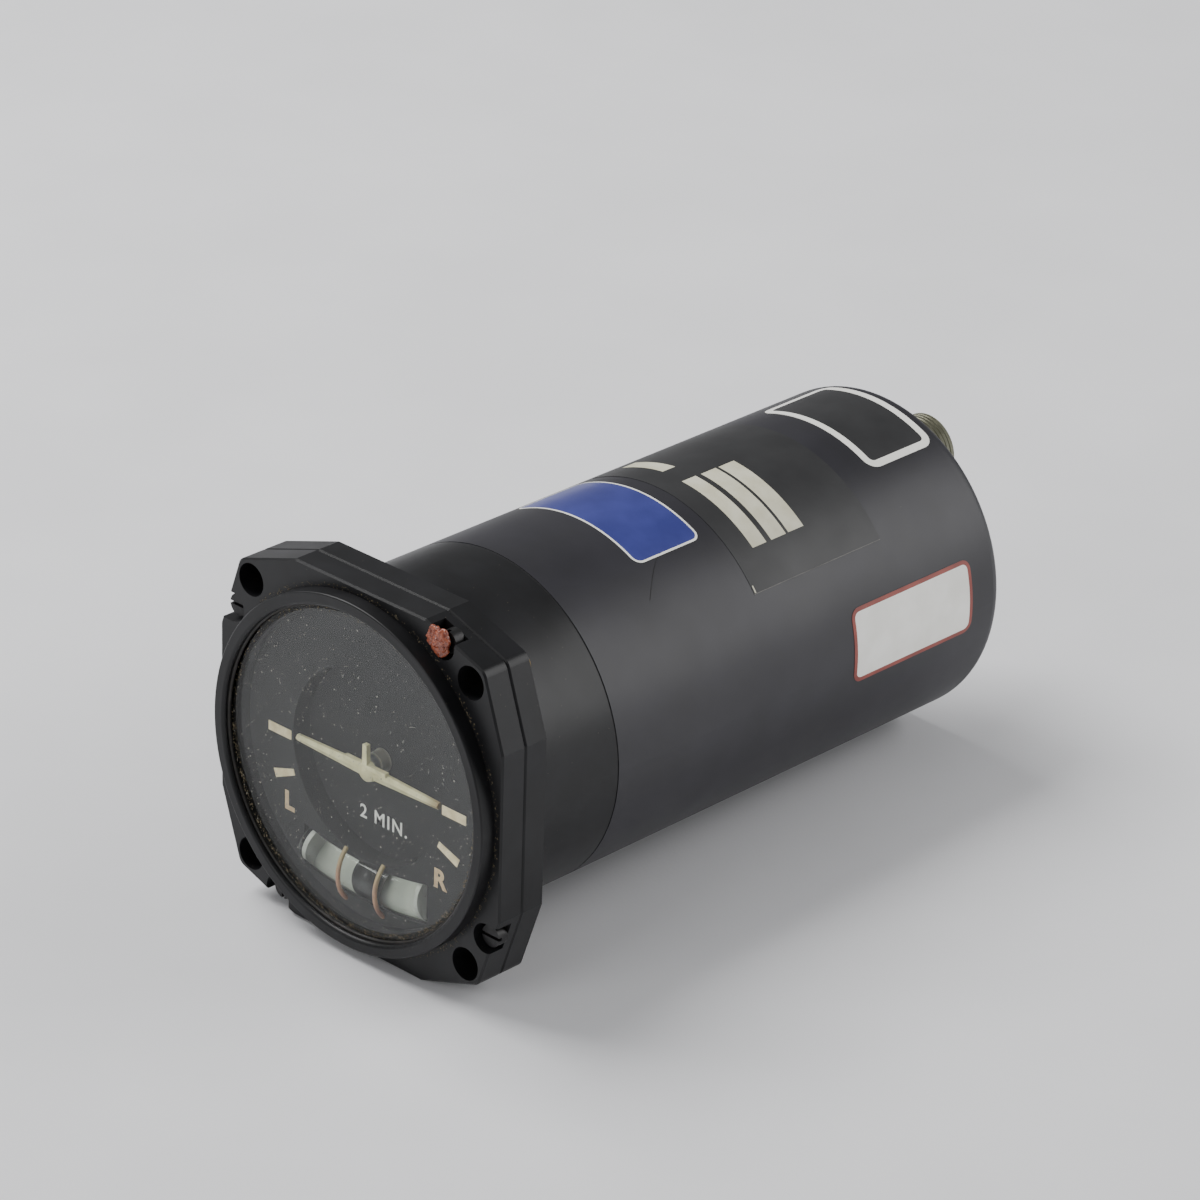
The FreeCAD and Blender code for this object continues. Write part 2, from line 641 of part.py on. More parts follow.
# Dial plate: a flat ring, the sunk round well with the bushing hole, and the ball's window.
dial = turned("dial_plate", [
    (mm.sleeve_radius + mm.fit_gap * 2, well_face),
    (well_radius, well_face),
    (well_radius, dial_face),
    (dial_radius, dial_face),
    (dial_radius, dial_back),
    (well_radius + mm.well_wall, dial_back),
    (well_radius + mm.well_wall, well_back),
    (mm.sleeve_radius + mm.fit_gap * 2, well_back),
])
window = sketch_in(dial, "XZ_Plane", "BallWindow", (0, dial_face, 0))
bent_window(window, tube_centre, mm.tube_bend - mm.window_reach, mm.tube_bend + mm.window_reach,
            window_half)
extrude(dial, "Pocket", window, mm.dial_thick)

# Painted marks: level on both sides, and the standard-rate turn marks below them.
marks = new_body("dial_marks")
level = sketch_in(marks, "XZ_Plane", "LevelMark", (0, dial_face, 0))
outline(level, [
    (mark_inner, -mm.wing_level - mm.mark_width / 2),
    (mark_outer, -mm.wing_level - mm.mark_width / 2),
    (mark_outer, -mm.wing_level + mm.mark_width / 2),
    (mark_inner, -mm.wing_level + mm.mark_width / 2),
])
level_pad = extrude(marks, "Pad", level, mm.mark_thick)
rate = sketch_in(marks, "XZ_Plane", "RateMark", (0, dial_face, 0))
rate_points = []
for reach, side in ((mark_inner + 0.6, 0.7), (mark_outer, 1.0), (mark_outer, -1.0),
                    (mark_inner + 0.6, -0.7)):
    along = cos_of(mm.mark_drop) * reach - sin_of(mm.mark_drop) * side
    down = sin_of(mm.mark_drop) * reach + cos_of(mm.mark_drop) * side
    rate_points.append((along, -mm.wing_level - down))
outline(rate, rate_points)
rate_pad = extrude(marks, "Pad", rate, mm.mark_thick)
mirrored(marks, [level_pad, rate_pad])

# Inclinometer: a bent glass tube, its plugs, white backing, two centring wires and the ball.


def bent_bar(label, radius, bore, angle):
    """Round bar or tube bent about the tube's centre, as far to one side as to the other."""
    body = new_body(label)
    section = sketch_in(body, "YZ_Plane", "Section_" + label, (0, tube_plane, tube_centre))
    circle(section, 0, -mm.tube_bend, radius)
    if bore is not None:
        circle(section, 0, -mm.tube_bend, bore)
    spin(body, "Revolution", section, ACROSS, angle).Midplane = True
    return body


bent_bar("inclinometer_tube", mm.tube_radius, mm.tube_bore, tube_angle * 2)
plugs = bent_bar("inclinometer_plugs", mm.tube_bore, None, tube_angle * 2)
plug_gap = sketch_in(plugs, "YZ_Plane", "BetweenPlugs", (0, tube_plane, tube_centre))
circle(plug_gap, 0, -mm.tube_bend, mm.tube_radius + 1)
spin(plugs, "Groove", plug_gap, ACROSS, (tube_angle - mm.plug_angle) * 2).Midplane = True

ball = doc.addObject("Part::Sphere", "Ball")
ball.Label = "inclinometer_ball"
ball.Radius = mm.ball_radius.value
bind(ball, "Radius", mm.ball_radius)
ball_level = -tube_low
ball.Placement.Base = FreeCAD.Vector(0, tube_plane.value, ball_level.value)
bind(ball, "Placement.Base.y", tube_plane)
bind(ball, "Placement.Base.z", ball_level)
subparts.append(ball)

# White backing behind the tube: a bent trough carried on the back of the dial plate.
trough = new_body("inclinometer_trough")
trough_section = sketch_in(trough, "YZ_Plane", "TroughSection", (0, tube_plane, tube_centre))
trough_inner = mm.tube_radius + mm.fit_gap
trough_outer = trough_inner + mm.trough_wall
trough_front = dial_back - tube_plane
trough_top = -(mm.tube_bend - mm.tube_radius * 0.7)
outline(trough_section, [
    (trough_front, trough_top),
    (trough_outer, trough_top),
    (trough_outer, -(mm.tube_bend + trough_outer)),
    (trough_front, -(mm.tube_bend + trough_outer)),
])
spin(trough, "Revolution", trough_section, ACROSS, trough_angle * 2).Midplane = True
trough_bore = sketch_in(trough, "YZ_Plane", "TroughBore", (0, tube_plane, tube_centre))
circle(trough_bore, 0, -mm.tube_bend, trough_inner)
spin(trough, "Groove", trough_bore, ACROSS, (trough_angle + 3) * 2).Midplane = True

# Two wires bent over the front of the tube mark the middle. Their feet stand on the dial.
wires = new_body("inclinometer_wires")
wire_turn = mm.tube_radius + mm.wire_flatness + mm.centring_wire + mm.wire_gap
wire_centre = tube_plane + mm.wire_flatness
for side in (-1, 1):
    place = mm.wire_place * side
    droop = (tube_centre - root_of(mm.tube_bend * mm.tube_bend - place * place))
    section_at = sketch_in(wires, "XY_Plane", "WireEnd%d" % (side + 1), (place, wire_centre, droop))
    circle(section_at, 0, -wire_turn, mm.centring_wire)
    bend = spin(wires, "Revolution", section_at, ACROSS, mm.wire_sweep * 2)
    bend.Midplane = True
feet = sketch_in(wires, "XZ_Plane", "FeetOnDial", (0, dial_face, 0))
circle(feet, 0, 0, web_bore)
extrude(wires, "Pocket", feet, wire_turn)

# Housing: square flange, round case, spigots for the dial and the can, and the inner shelf.
housing = new_body("front_housing")
square = sketch_in(housing, "XZ_Plane", "FlangeOutline", (0, mm.bezel_depth, 0))
square_front(square)
extrude(housing, "Pad", square, mm.rear_flange_depth, reverse=True)
dressed(housing, "Fillet", blunt_corner, mm.corner_round, "Corners")
dressed(housing, "Chamfer", flange_edge(mm.bezel_depth, flange_back), mm.edge_chamfer, "Edges")
barrel = sketch_in(housing, "XY_Plane", "BarrelSection")
outline(barrel, [
    (shelf_bore, dial_back),
    (dial_radius, dial_back),
    (dial_radius, mm.bezel_depth + 1),
    (case_radius, mm.bezel_depth + 1),
    (case_radius, mm.seam_place),
    (spigot_radius, mm.seam_place),
    (spigot_radius, spigot_end),
    (shelf_bore, spigot_end),
])
spin(housing, "Revolution", barrel)
inside = sketch_in(housing, "XY_Plane", "HousingBore")
front_bore_end = mm.bezel_depth + mm.front_bore_depth
shelf_front = shelf_back - mm.shelf_thick
outline(inside, [
    (0, dial_back - 1),
    (front_bore, dial_back - 1),
    (front_bore, front_bore_end),
    (housing_bore, front_bore_end),
    (housing_bore, shelf_front),
    (shelf_bore, shelf_front),
    (shelf_bore, shelf_back),
    (housing_bore, shelf_back),
    (housing_bore, spigot_end + 1),
    (0, spigot_end + 1),
])
spin(housing, "Groove", inside)
nut_seat = sketch_in(housing, "XZ_Plane", "NutSeat", (0, mm.bezel_depth, 0))
circle(nut_seat, mount_offset, mount_offset, mm.nut_radius)
nut_cut = extrude(housing, "Pocket", nut_seat, mm.rear_flange_depth)
tapped = sketch_in(housing, "XZ_Plane", "TappedHole", (0, mm.bezel_depth, 0))
circle(tapped, notch_across, notch_out, mm.screw_radius)
tapped_cut = extrude(housing, "Pocket", tapped, mm.rear_flange_depth)
around(housing, [nut_cut, tapped_cut], 4)
shelf_hole = sketch_in(housing, "XZ_Plane", "ShelfHole", (0, shelf_front, 0))
shelf_reach = plate_screw_circle * math.sqrt(0.5)
circle(shelf_hole, shelf_reach, shelf_reach, mm.small_screw)
shelf_cut = extrude(housing, "Pocket", shelf_hole, mm.shelf_thick)
around(housing, [shelf_cut], 4)

# Pressed-in mounting nuts with a flange behind the housing's flange.
nuts = new_body("mounting_nuts")
nut_section = sketch_in(nuts, "XY_Plane", "NutSection", (mount_offset, 0, mount_offset))
nut_front = mm.bezel_depth + mm.nut_recess
outline(nut_section, [
    (mm.nut_bore, nut_front),
    (mm.nut_radius, nut_front),
    (mm.nut_radius, flange_back),
    (mm.nut_radius + mm.nut_collar, flange_back),
    (mm.nut_radius + mm.nut_collar, flange_back + mm.nut_collar_thick),
    (mm.nut_bore, flange_back + mm.nut_collar_thick),
])
nut_turn = spin(nuts, "Revolution", nut_section)
around(nuts, [nut_turn], 4)

# Can over the mechanism, closed at the rear, with the gasket in its seam.
turned("case_gasket", ring(spigot_radius, case_radius - 0.15, mm.seam_place,
                           mm.seam_place + mm.case_gasket_thick))
can = new_body("rear_can")
can_section = sketch_in(can, "XY_Plane", "CanSection")
can_front = mm.seam_place + mm.case_gasket_thick
outline(can_section, [
    (can_inside, can_front),
    (case_radius, can_front),
    (case_radius, can_back),
    (0, can_back),
    (0, can_back - mm.can_end),
    (can_inside, can_back - mm.can_end),
])
spin(can, "Revolution", can_section)
outer_edge = round_at(case_radius.value, can_back.value)
inner_edge = round_at(can_inside.value, can_back.value - mm.can_end.value)
dressed(can, "Fillet", outer_edge, mm.can_round, "RearEdge")
dressed(can, "Fillet", inner_edge, mm.can_round - mm.can_wall, "InnerRearEdge")
socket_hole = sketch_in(can, "XZ_Plane", "ConnectorHole", (0, can_back - mm.can_end, 0))
circle(socket_hole, 0, connector_up, mm.connector_radius + mm.fit_gap)
for across in (-1, 1):
    circle(socket_hole, standoff_across * across, -mm.standoff_down, mm.small_screw + mm.fit_gap)
    for up in (-1, 1):
        circle(socket_hole, mm.flange_screw_offset * across,
               connector_up + mm.flange_screw_offset * up, mm.small_screw)
extrude(can, "Pocket", socket_hole, mm.can_end)

# Front plate of the mechanism on the housing's shelf, and its screws.
front_plate = turned("front_plate", ring(mm.bush_radius, housing_bore - mm.fit_gap, shelf_back,
                                         front_plate_back))
plate_hole = sketch_in(front_plate, "XZ_Plane", "PlateHole", (0, shelf_back, 0))
circle(plate_hole, shelf_reach, shelf_reach, mm.small_screw + mm.fit_gap)
plate_cut = extrude(front_plate, "Pocket", plate_hole, mm.plate_thick)
around(front_plate, [plate_cut], 4)


def cap_screws(label, places, seat, head_back, grip):
    """Small slotted screws driven from the rear, heads on a seat behind the panel face."""
    body = new_body(label)
    for number, (x, z) in enumerate(places):
        section = sketch_in(body, "XY_Plane", "%s_%d" % (label, number), (x, 0, z))
        outline(section, [
            (0, seat - grip),
            (mm.small_screw, seat - grip),
            (mm.small_screw, seat),
            (mm.small_head, seat),
            (mm.small_head, head_back - 0.4),
            (mm.small_head - 0.4, head_back),
            (0, head_back),
        ])
        spin(body, "Revolution", section)
    return body


diagonals = [(shelf_reach * x, shelf_reach * z) for x in (-1, 1) for z in (-1, 1)]
cap_screws("front_plate_screws", diagonals, front_plate_back,
           front_plate_back + mm.small_head_height, mm.plate_thick + mm.small_grip)


def drilled(radius, front, back):
    """Section of a solid post with a blind screw hole in its rear end."""
    return [
        (0, front),
        (radius, front),
        (radius, back),
        (mm.small_screw, back),
        (mm.small_screw, back - mm.small_grip),
        (0, back - mm.small_grip),
    ]


# Four posts carry the rear plate.
posts = new_body("frame_posts")
post_section = sketch_in(posts, "XY_Plane", "PostSection", (post_circle, 0, 0))
outline(post_section, drilled(mm.post_radius, front_plate_back, rear_plate_front))
post_turn = spin(posts, "Revolution", post_section)
around(posts, [post_turn], 4)
rear_plate = turned("rear_plate", [
    (0, rear_plate_front),
    (rear_plate_radius, rear_plate_front),
    (rear_plate_radius, rear_plate_back),
    (0, rear_plate_back),
])
crosses = [(post_circle, 0), (-post_circle, 0), (0, post_circle), (0, -post_circle)]
rear_holes = sketch_in(rear_plate, "XZ_Plane", "RearPlateHoles", (0, rear_plate_front, 0))
for x, z in crosses:
    circle(rear_holes, x, z, mm.small_screw + mm.fit_gap)
extrude(rear_plate, "Pocket", rear_holes, mm.plate_thick)
cap_screws("rear_plate_screws", crosses, rear_plate_back,
           rear_plate_back + mm.small_head_height, mm.plate_thick + mm.small_grip)

# Spindle sleeve on the front plate, through the floor of the dial's well, with two bushes.
sleeve_end = shelf_back
turned("spindle_sleeve", [
    (mm.bush_radius, mm.sleeve_front),
    (mm.sleeve_radius, mm.sleeve_front),
    (mm.sleeve_radius, well_face - mm.sleeve_collar),
    (mm.sleeve_radius + mm.sleeve_collar, well_face - mm.sleeve_collar),
    (mm.sleeve_radius + mm.sleeve_collar, well_face),
    (mm.sleeve_radius, well_face),
    (mm.sleeve_radius, sleeve_end - 3),
    (mm.sleeve_foot, sleeve_end - 2),
    (mm.sleeve_foot, sleeve_end),
    (mm.bush_radius, sleeve_end),
])
bushes = new_body("spindle_bushes")
for number, start in enumerate((mm.sleeve_front, front_plate_back - mm.bush_length)):
    bush_section = sketch_in(bushes, "XY_Plane", "Bush%d" % number)
    outline(bush_section, ring(mm.spindle_radius + mm.running_gap, mm.bush_radius, start,
                               start + mm.bush_length))
    spin(bushes, "Revolution", bush_section)

# Pointer: spindle, miniature aeroplane at the front and slotted fork at the rear.
wing_back = mm.wing_front + mm.wing_thick
fork_front = pin_place - mm.fork_thick / 2
fork_back = pin_place + mm.fork_thick / 2
collar_back = mm.sleeve_front - 0.3
turned("pointer_spindle", [
    (0, wing_back),
    (mm.sleeve_radius - 0.5, wing_back),
    (mm.sleeve_radius - 0.3, collar_back),
    (mm.spindle_radius, collar_back),
    (mm.spindle_radius, fork_back),
    (0, fork_back),
])
plane = new_body("miniature_aeroplane")
sections = []
for number, (place, height) in enumerate(((0, mm.wing_root), (wing_span, mm.wing_tip))):
    rib = sketch_in(plane, "YZ_Plane", "Rib%d" % number, (place, 0, -mm.wing_level))
    shoulder = mm.wing_front + mm.wing_thick * 0.4
    outline(rib, [
        (mm.wing_front, 0),
        (shoulder, height / 2),
        (wing_back, height / 2),
        (wing_back, -height / 2),
        (shoulder, -height / 2),
    ])
    sections.append(rib)
wing = plane.newObject("PartDesign::AdditiveLoft", "Wing")
wing.Profile = sections[0]
wing.Sections = sections[1:]
wing.Ruled = True
plane.Tip = wing
mirrored(plane, [wing])
belly = sketch_in(plane, "XY_Plane", "Fuselage", (0, 0, -mm.wing_level))
outline(belly, [
    (0, mm.wing_front - 0.7),
    (mm.wing_root * 0.4, mm.wing_front - 0.5),
    (mm.wing_root * 0.75, mm.wing_front + 0.1),
    (mm.wing_root * 0.85, wing_back),
    (0, wing_back),
])
spin(plane, "Revolution", belly)
tail = sketch_in(plane, "XZ_Plane", "Tail", (0, mm.wing_front - 0.35, 0))
tail_low = mm.wing_root / 2 - mm.wing_level - 0.4
tail_high = tail_low + 0.9
outline(tail, [
    (-mm.tail_half, tail_low),
    (mm.tail_half, tail_low),
    (mm.tail_half, tail_high),
    (mm.fin_half, tail_high),
    (mm.fin_half * 0.8, mm.fin_top),
    (-mm.fin_half * 0.8, mm.fin_top),
    (-mm.fin_half, tail_high),
    (-mm.tail_half, tail_high),
])
extrude(plane, "Pad", tail, mm.wing_thick, reverse=True)

fork = new_body("pointer_fork")
fork_shape = sketch_in(fork, "XZ_Plane", "ForkOutline", (0, fork_front, 0))
slot_half = mm.pin_ball + mm.slot_gap
leg_half = slot_half + 1.5
fork_low = -(mm.pin_drop + mm.pin_ball * 2.3)
slot_top = -(mm.pin_drop - mm.pin_ball * 2.6)
weight_top = mm.spindle_radius * 6.5
outline(fork_shape, [
    (-leg_half, fork_low),
    (-slot_half, fork_low),
    (-slot_half, slot_top),
    (slot_half, slot_top),
    (slot_half, fork_low),
    (leg_half, fork_low),
    (leg_half, 0),
    (leg_half + 1.2, weight_top - 1.5),
    (leg_half - 0.5, weight_top),
    (0 - leg_half + 0.5, weight_top),
    (-leg_half - 1.2, weight_top - 1.5),
    (-leg_half, 0),
])
circle(fork_shape, 0, 0, mm.spindle_radius)
extrude(fork, "Pad", fork_shape, mm.fork_thick, reverse=True)

# Gimbal: a ring frame whose pivot axis rises at the front, with the arm for the drive pin.
gimbal = new_body("gimbal_frame")
frame_shape = sketch_in(gimbal, "XY_Plane", "GimbalOutline", gyro_centre, cant_turn)
wide, long = gimbal_wide, gimbal_long
blunt_wide, blunt_long = wide - mm.gimbal_bar, long - mm.gimbal_bar
outline(frame_shape, [
    (blunt_wide, long),
    (wide, blunt_long),
    (wide, -blunt_long),
    (blunt_wide, -long),
    (-blunt_wide, -long),
    (-wide, -blunt_long),
    (-wide, blunt_long),
    (-blunt_wide, long),
])
inner_wide, inner_long = wide - mm.gimbal_side, long - mm.gimbal_bar
cut = mm.gimbal_side
outline(frame_shape, [
    (inner_wide - cut, inner_long),
    (inner_wide, inner_long - cut),
    (inner_wide, -inner_long + cut),
    (inner_wide - cut, -inner_long),
    (-inner_wide + cut, -inner_long),
    (-inner_wide, -inner_long + cut),
    (-inner_wide, inner_long - cut),
    (-inner_wide + cut, inner_long),
])
extrude(gimbal, "Pad", frame_shape, mm.gimbal_thick, both=True)
arm = sketch_in(gimbal, "YZ_Plane", "ArmOutline")
arm_back = arm_place + mm.arm_thick
arm_low = -(mm.pin_drop + mm.pin_ball * 2)
arm_top = sin_of(mm.cant) * gimbal_long - 2
outline(arm, [
    (arm_place, arm_low),
    (arm_back, arm_low),
    (arm_back, arm_top),
    (arm_place, arm_top),
])
extrude(gimbal, "Pad", arm, mm.arm_half * 2, both=True)
shaft_seat = sketch_in(gimbal, "YZ_Plane", "RotorBearingSeat", gyro_centre)
circle(shaft_seat, 0, 0, mm.shaft_ring)
extrude(gimbal, "Pocket", shaft_seat, wide * 2 + 2, both=True)

pin = new_body("drive_pin")
stalk = sketch_in(pin, "XY_Plane", "Stalk", (0, 0, -mm.pin_drop))
outline(stalk, [
    (0, pin_place),
    (mm.pin_stalk, pin_place),
    (mm.pin_stalk, arm_place - 0.8),
    (mm.pin_stalk * 2.8, arm_place - 0.8),
    (mm.pin_stalk * 2.8, arm_place),
    (0, arm_place),
])
spin(pin, "Revolution", stalk)
knob = sketch_in(pin, "XY_Plane", "PinBall", (0, pin_place, -mm.pin_drop))
half = knob.addGeometry(Part.ArcOfCircle(
    Part.Circle(FreeCAD.Vector(0, 0, 0), FreeCAD.Vector(0, 0, 1), mm.pin_ball.value),
    -math.pi / 2, math.pi / 2))
flat = knob.addGeometry(Part.LineSegment(
    FreeCAD.Vector(0, mm.pin_ball.value, 0), FreeCAD.Vector(0, -mm.pin_ball.value, 0)))
for here, there in ((2, 1), (1, 2)):
    knob.addConstraint(Sketcher.Constraint("Coincident", half, here, flat, there))
    knob.addConstraint(Sketcher.Constraint("PointOnObject", flat, there, -2))
hold_point(knob, half, 3, 0, 0)
hold(knob, "Radius", (half,), mm.pin_ball)
spin(pin, "Revolution", knob)

# Gimbal pivots with the hairspring's collet in front, and their bearings in the two bosses.
front_ring = front_boss_start + 0.5
rear_ring = rear_boss_start + 0.5
collet_end = gimbal_long + 2.4
pivots = new_body("gimbal_pivots")
front_pivot = sketch_in(pivots, "XY_Plane", "FrontPivot", gyro_centre, cant_turn)
outline(front_pivot, [
    (0, -long),
    (mm.spring_inner - 0.3, -long),
    (mm.spring_inner - 0.3, -collet_end),
    (mm.journal, -collet_end),
    (mm.journal, -(front_ring + mm.ring_width)),
    (0, -(front_ring + mm.ring_width)),
])
spin(pivots, "Revolution", front_pivot)
rear_pivot = sketch_in(pivots, "XY_Plane", "RearPivot", gyro_centre, cant_turn)
outline(rear_pivot, [
    (0, long),
    (mm.journal, long),
    (mm.journal, rear_ring + mm.ring_width),
    (0, rear_ring + mm.ring_width),
])
spin(pivots, "Revolution", rear_pivot)

rings = new_body("pivot_bearings")
for number, (near, far) in enumerate(((-front_ring, -(front_ring + mm.ring_width)),
                                      (rear_ring, rear_ring + mm.ring_width))):
    race = sketch_in(rings, "XY_Plane", "PivotRing%d" % number, gyro_centre, cant_turn)
    outline(race, ring(mm.journal + mm.running_gap, mm.pivot_ring, near, far))
    spin(rings, "Revolution", race)

front_boss = new_body("front_pivot_boss")
front_tube = sketch_in(front_boss, "XY_Plane", "FrontBoss", gyro_centre, cant_turn)
front_reach = (gimbal_place - front_plate_back) / cos_of(mm.cant) + mm.boss_radius
collar = mm.spring_inner + mm.spring_pitch * mm.spring_turns + 1.6
outline(front_tube, [
    (mm.journal + 0.5, -front_boss_start),
    (collar, -front_boss_start),
    (collar, -(front_boss_start + 1.5)),
    (mm.boss_radius, -(front_boss_start + 1.5)),
    (mm.boss_radius, -front_reach),
    (0, -front_reach),
    (0, -(front_ring + mm.ring_width)),
    (mm.pivot_ring, -(front_ring + mm.ring_width)),
    (mm.pivot_ring, -front_ring),
    (mm.journal + 0.5, -front_ring),
])
spin(front_boss, "Revolution", front_tube)
stud = sketch_in(front_boss, "XY_Plane", "SpringStud", gyro_centre, cant_turn)
stud_place = mm.spring_inner + mm.spring_pitch * mm.spring_turns + mm.spring_strip + 0.5
outline(stud, [
    (stud_place - 0.5, -front_boss_start),
    (stud_place + 0.5, -front_boss_start),
    (stud_place + 0.5, -(gimbal_long + 0.6)),
    (stud_place - 0.5, -(gimbal_long + 0.6)),
])
extrude(front_boss, "Pad", stud, 1.0, both=True)
front_cut = sketch_in(front_boss, "XZ_Plane", "FrontBossFoot", (0, front_plate_back, 0))
circle(front_cut, 0, 0, housing_bore * 2)
extrude(front_boss, "Pocket", front_cut, housing_bore, reverse=True)

rear_boss = new_body("rear_pivot_boss")
rear_tube = sketch_in(rear_boss, "XY_Plane", "RearBoss", gyro_centre, cant_turn)
rear_reach = (rear_plate_front - gimbal_place) / cos_of(mm.cant) + mm.boss_radius
outline(rear_tube, [
    (mm.journal + 0.5, rear_boss_start),
    (mm.boss_radius, rear_boss_start),
    (mm.boss_radius, rear_reach),
    (0, rear_reach),
    (0, rear_ring + mm.ring_width),
    (mm.pivot_ring, rear_ring + mm.ring_width),
    (mm.pivot_ring, rear_ring),
    (mm.journal + 0.5, rear_ring),
])
spin(rear_boss, "Revolution", rear_tube)
rear_cut = sketch_in(rear_boss, "XZ_Plane", "RearBossFoot", (0, rear_plate_front, 0))
circle(rear_cut, 0, 0, housing_bore * 2)
extrude(rear_boss, "Pocket", rear_cut, housing_bore)

# Hairspring that centres the gimbal: a flat strip wound in half turns about the pivot.
spring = doc.addObject("Part::Feature", "Hairspring")
spring.Label = "centring_hairspring"


def half_turns(start, pitch, turns):
    """Half-circle arcs that grow outwards, each starting where the last one ends."""
    arcs = []
    for k in range(turns * 2):
        radius = start + k * pitch / 2
        middle = FreeCAD.Vector(pitch / 2 if k % 2 else 0, 0, 0)
        first = math.pi if k % 2 else 0
        arcs.append(Part.Arc(Part.Circle(middle, FreeCAD.Vector(0, 0, 1), radius),
                             first, first + math.pi).toShape())
    return arcs


spring_start = sheet.spring_inner
spring_count = int(sheet.spring_turns)
inner_arcs = half_turns(spring_start, sheet.spring_pitch, spring_count)
outer_arcs = half_turns(spring_start + sheet.spring_strip, sheet.spring_pitch, spring_count)
end_inner = FreeCAD.Vector(spring_start + spring_count * sheet.spring_pitch, 0, 0)
strip_step = FreeCAD.Vector(sheet.spring_strip, 0, 0)
caps = [Part.makeLine(FreeCAD.Vector(spring_start, 0, 0), FreeCAD.Vector(spring_start, 0, 0) + strip_step),
        Part.makeLine(end_inner, end_inner + strip_step)]
strip = Part.Wire(Part.__sortEdges__(inner_arcs + outer_arcs + caps))
spring.Shape = Part.Face(strip).extrude(FreeCAD.Vector(0, 0, sheet.spring_width))
along_axis = gimbal_long + 0.7
spring.Placement = FreeCAD.Placement(
    FreeCAD.Vector(0, (gimbal_place - cos_of(mm.cant) * along_axis).value,
                   (sin_of(mm.cant) * along_axis).value),
    FreeCAD.Rotation(FreeCAD.Vector(1, 0, 0), 90 - sheet.cant))
subparts.append(spring)

# Viscous damper: a disc on the gimbal's rear pivot inside a cup on the rear boss.
disc_front = gimbal_long + 1.4
disc_back = disc_front + 1.6
cup_bore = mm.damper_radius + mm.damper_gap
turned("damper_disc", [
    (mm.journal, long),
    (mm.journal + 1.0, long),
    (mm.journal + 1.0, disc_front),
    (mm.damper_radius, disc_front),
    (mm.damper_radius, disc_back),
    (mm.journal, disc_back),
], tilt=cant_turn, centre_y=gimbal_place)
turned("damper_cup", [
    (cup_bore, disc_front - 0.2),
    (cup_bore + 1.0, disc_front - 0.2),
    (cup_bore + 1.0, rear_boss_start),
    (mm.journal + 0.5, rear_boss_start),
    (mm.journal + 0.5, disc_back + mm.damper_gap),
    (cup_bore, disc_back + mm.damper_gap),
], tilt=cant_turn, centre_y=gimbal_place)


def across(label, points, sections=1):
    """A body turned about the rotor's axis, from (sideways, radius) points."""
    body = new_body(label)
    sketch = sketch_in(body, "XY_Plane", "Profile_" + label, gyro_centre)
    outline(sketch, points)
    turn = spin(body, "Revolution", sketch, ACROSS)
    if sections == 2:
        mirrored(body, [turn])
    return body


# Rotor with a heavy rim on a thin web, its shaft, commutator and ball bearings.
hub_end = mm.rotor_web + 1.2
across("gyro_rotor", [
    (-mm.rotor_half, rim_inner),
    (-mm.rotor_half, rotor_radius),
    (mm.rotor_half, rotor_radius),
    (mm.rotor_half, rim_inner),
    (mm.rotor_web, rim_inner),
    (mm.rotor_web, mm.rotor_hub),
    (hub_end, mm.rotor_hub),
    (hub_end, mm.shaft_radius),
    (-hub_end, mm.shaft_radius),
    (-hub_end, mm.rotor_hub),
    (-mm.rotor_web, mm.rotor_hub),
    (-mm.rotor_web, rim_inner),
])
shaft_end = wide - 0.2
across("rotor_shaft", [(-shaft_end, 0), (-shaft_end, mm.shaft_radius), (shaft_end, mm.shaft_radius),
                       (shaft_end, 0)])
across("commutator", ring(hub_end, mm.rotor_half - 0.5, mm.shaft_radius, mm.rotor_hub - 0.1))
side_ring = wide - 0.5
across("rotor_bearings", ring(side_ring - mm.ring_width, side_ring, mm.shaft_radius + mm.running_gap,
                              mm.shaft_ring), sections=2)

# Motor: a magnet in one side of the rotor and the brush gear on the other, both on the gimbal.
magnet_end = mm.rotor_half - 0.6
across("motor_magnet", [
    (-inner_wide, mm.stator_bore),
    (-inner_wide, mm.stator_bore + 2),
    (-magnet_end, mm.stator_bore + 2),
    (-magnet_end, stator_radius),
    (-(mm.rotor_web + 0.6), stator_radius),
    (-(mm.rotor_web + 0.6), mm.stator_bore),
])
brush_bore = rim_inner - 4.6
brushes = across("brush_gear", ring(mm.rotor_half * 0.5, inner_wide, brush_bore, brush_bore + 2))
brush = sketch_in(brushes, "XY_Plane", "Brush", (mm.rotor_half * 0.7, gimbal_place, mm.rotor_hub + 0.2))
circle(brush, 0, 0, mm.small_screw)
brush_pad = extrude(brushes, "Pad", brush, brush_bore - mm.rotor_hub + 0.6)
mirrored(brushes, [brush_pad], "XY_Plane")

# Rear connector: square-flanged round shell, its insert, three contacts, screws and gasket.
connector_seat = can_back + mm.gasket_thick
flange_rear = connector_seat + mm.connector_plate
shell_end = flange_rear + mm.connector_reach
shell_start = connector_seat - mm.connector_body
shell = turned("connector_shell", [
    (mm.connector_bore, shell_start),
    (mm.connector_radius - mm.relief_depth, shell_start),
    (mm.connector_radius - mm.relief_depth, flange_rear + mm.relief_width),
    (mm.connector_radius, flange_rear + mm.relief_width + mm.relief_depth),
    (mm.connector_radius, shell_end - mm.shell_chamfer),
    (mm.connector_radius - mm.shell_chamfer, shell_end),
    (mm.connector_bore, shell_end),
], 0, connector_up)
corner_places = [(mm.flange_screw_offset * x, connector_up + mm.flange_screw_offset * z)
                 for x in (-1, 1) for z in (-1, 1)]


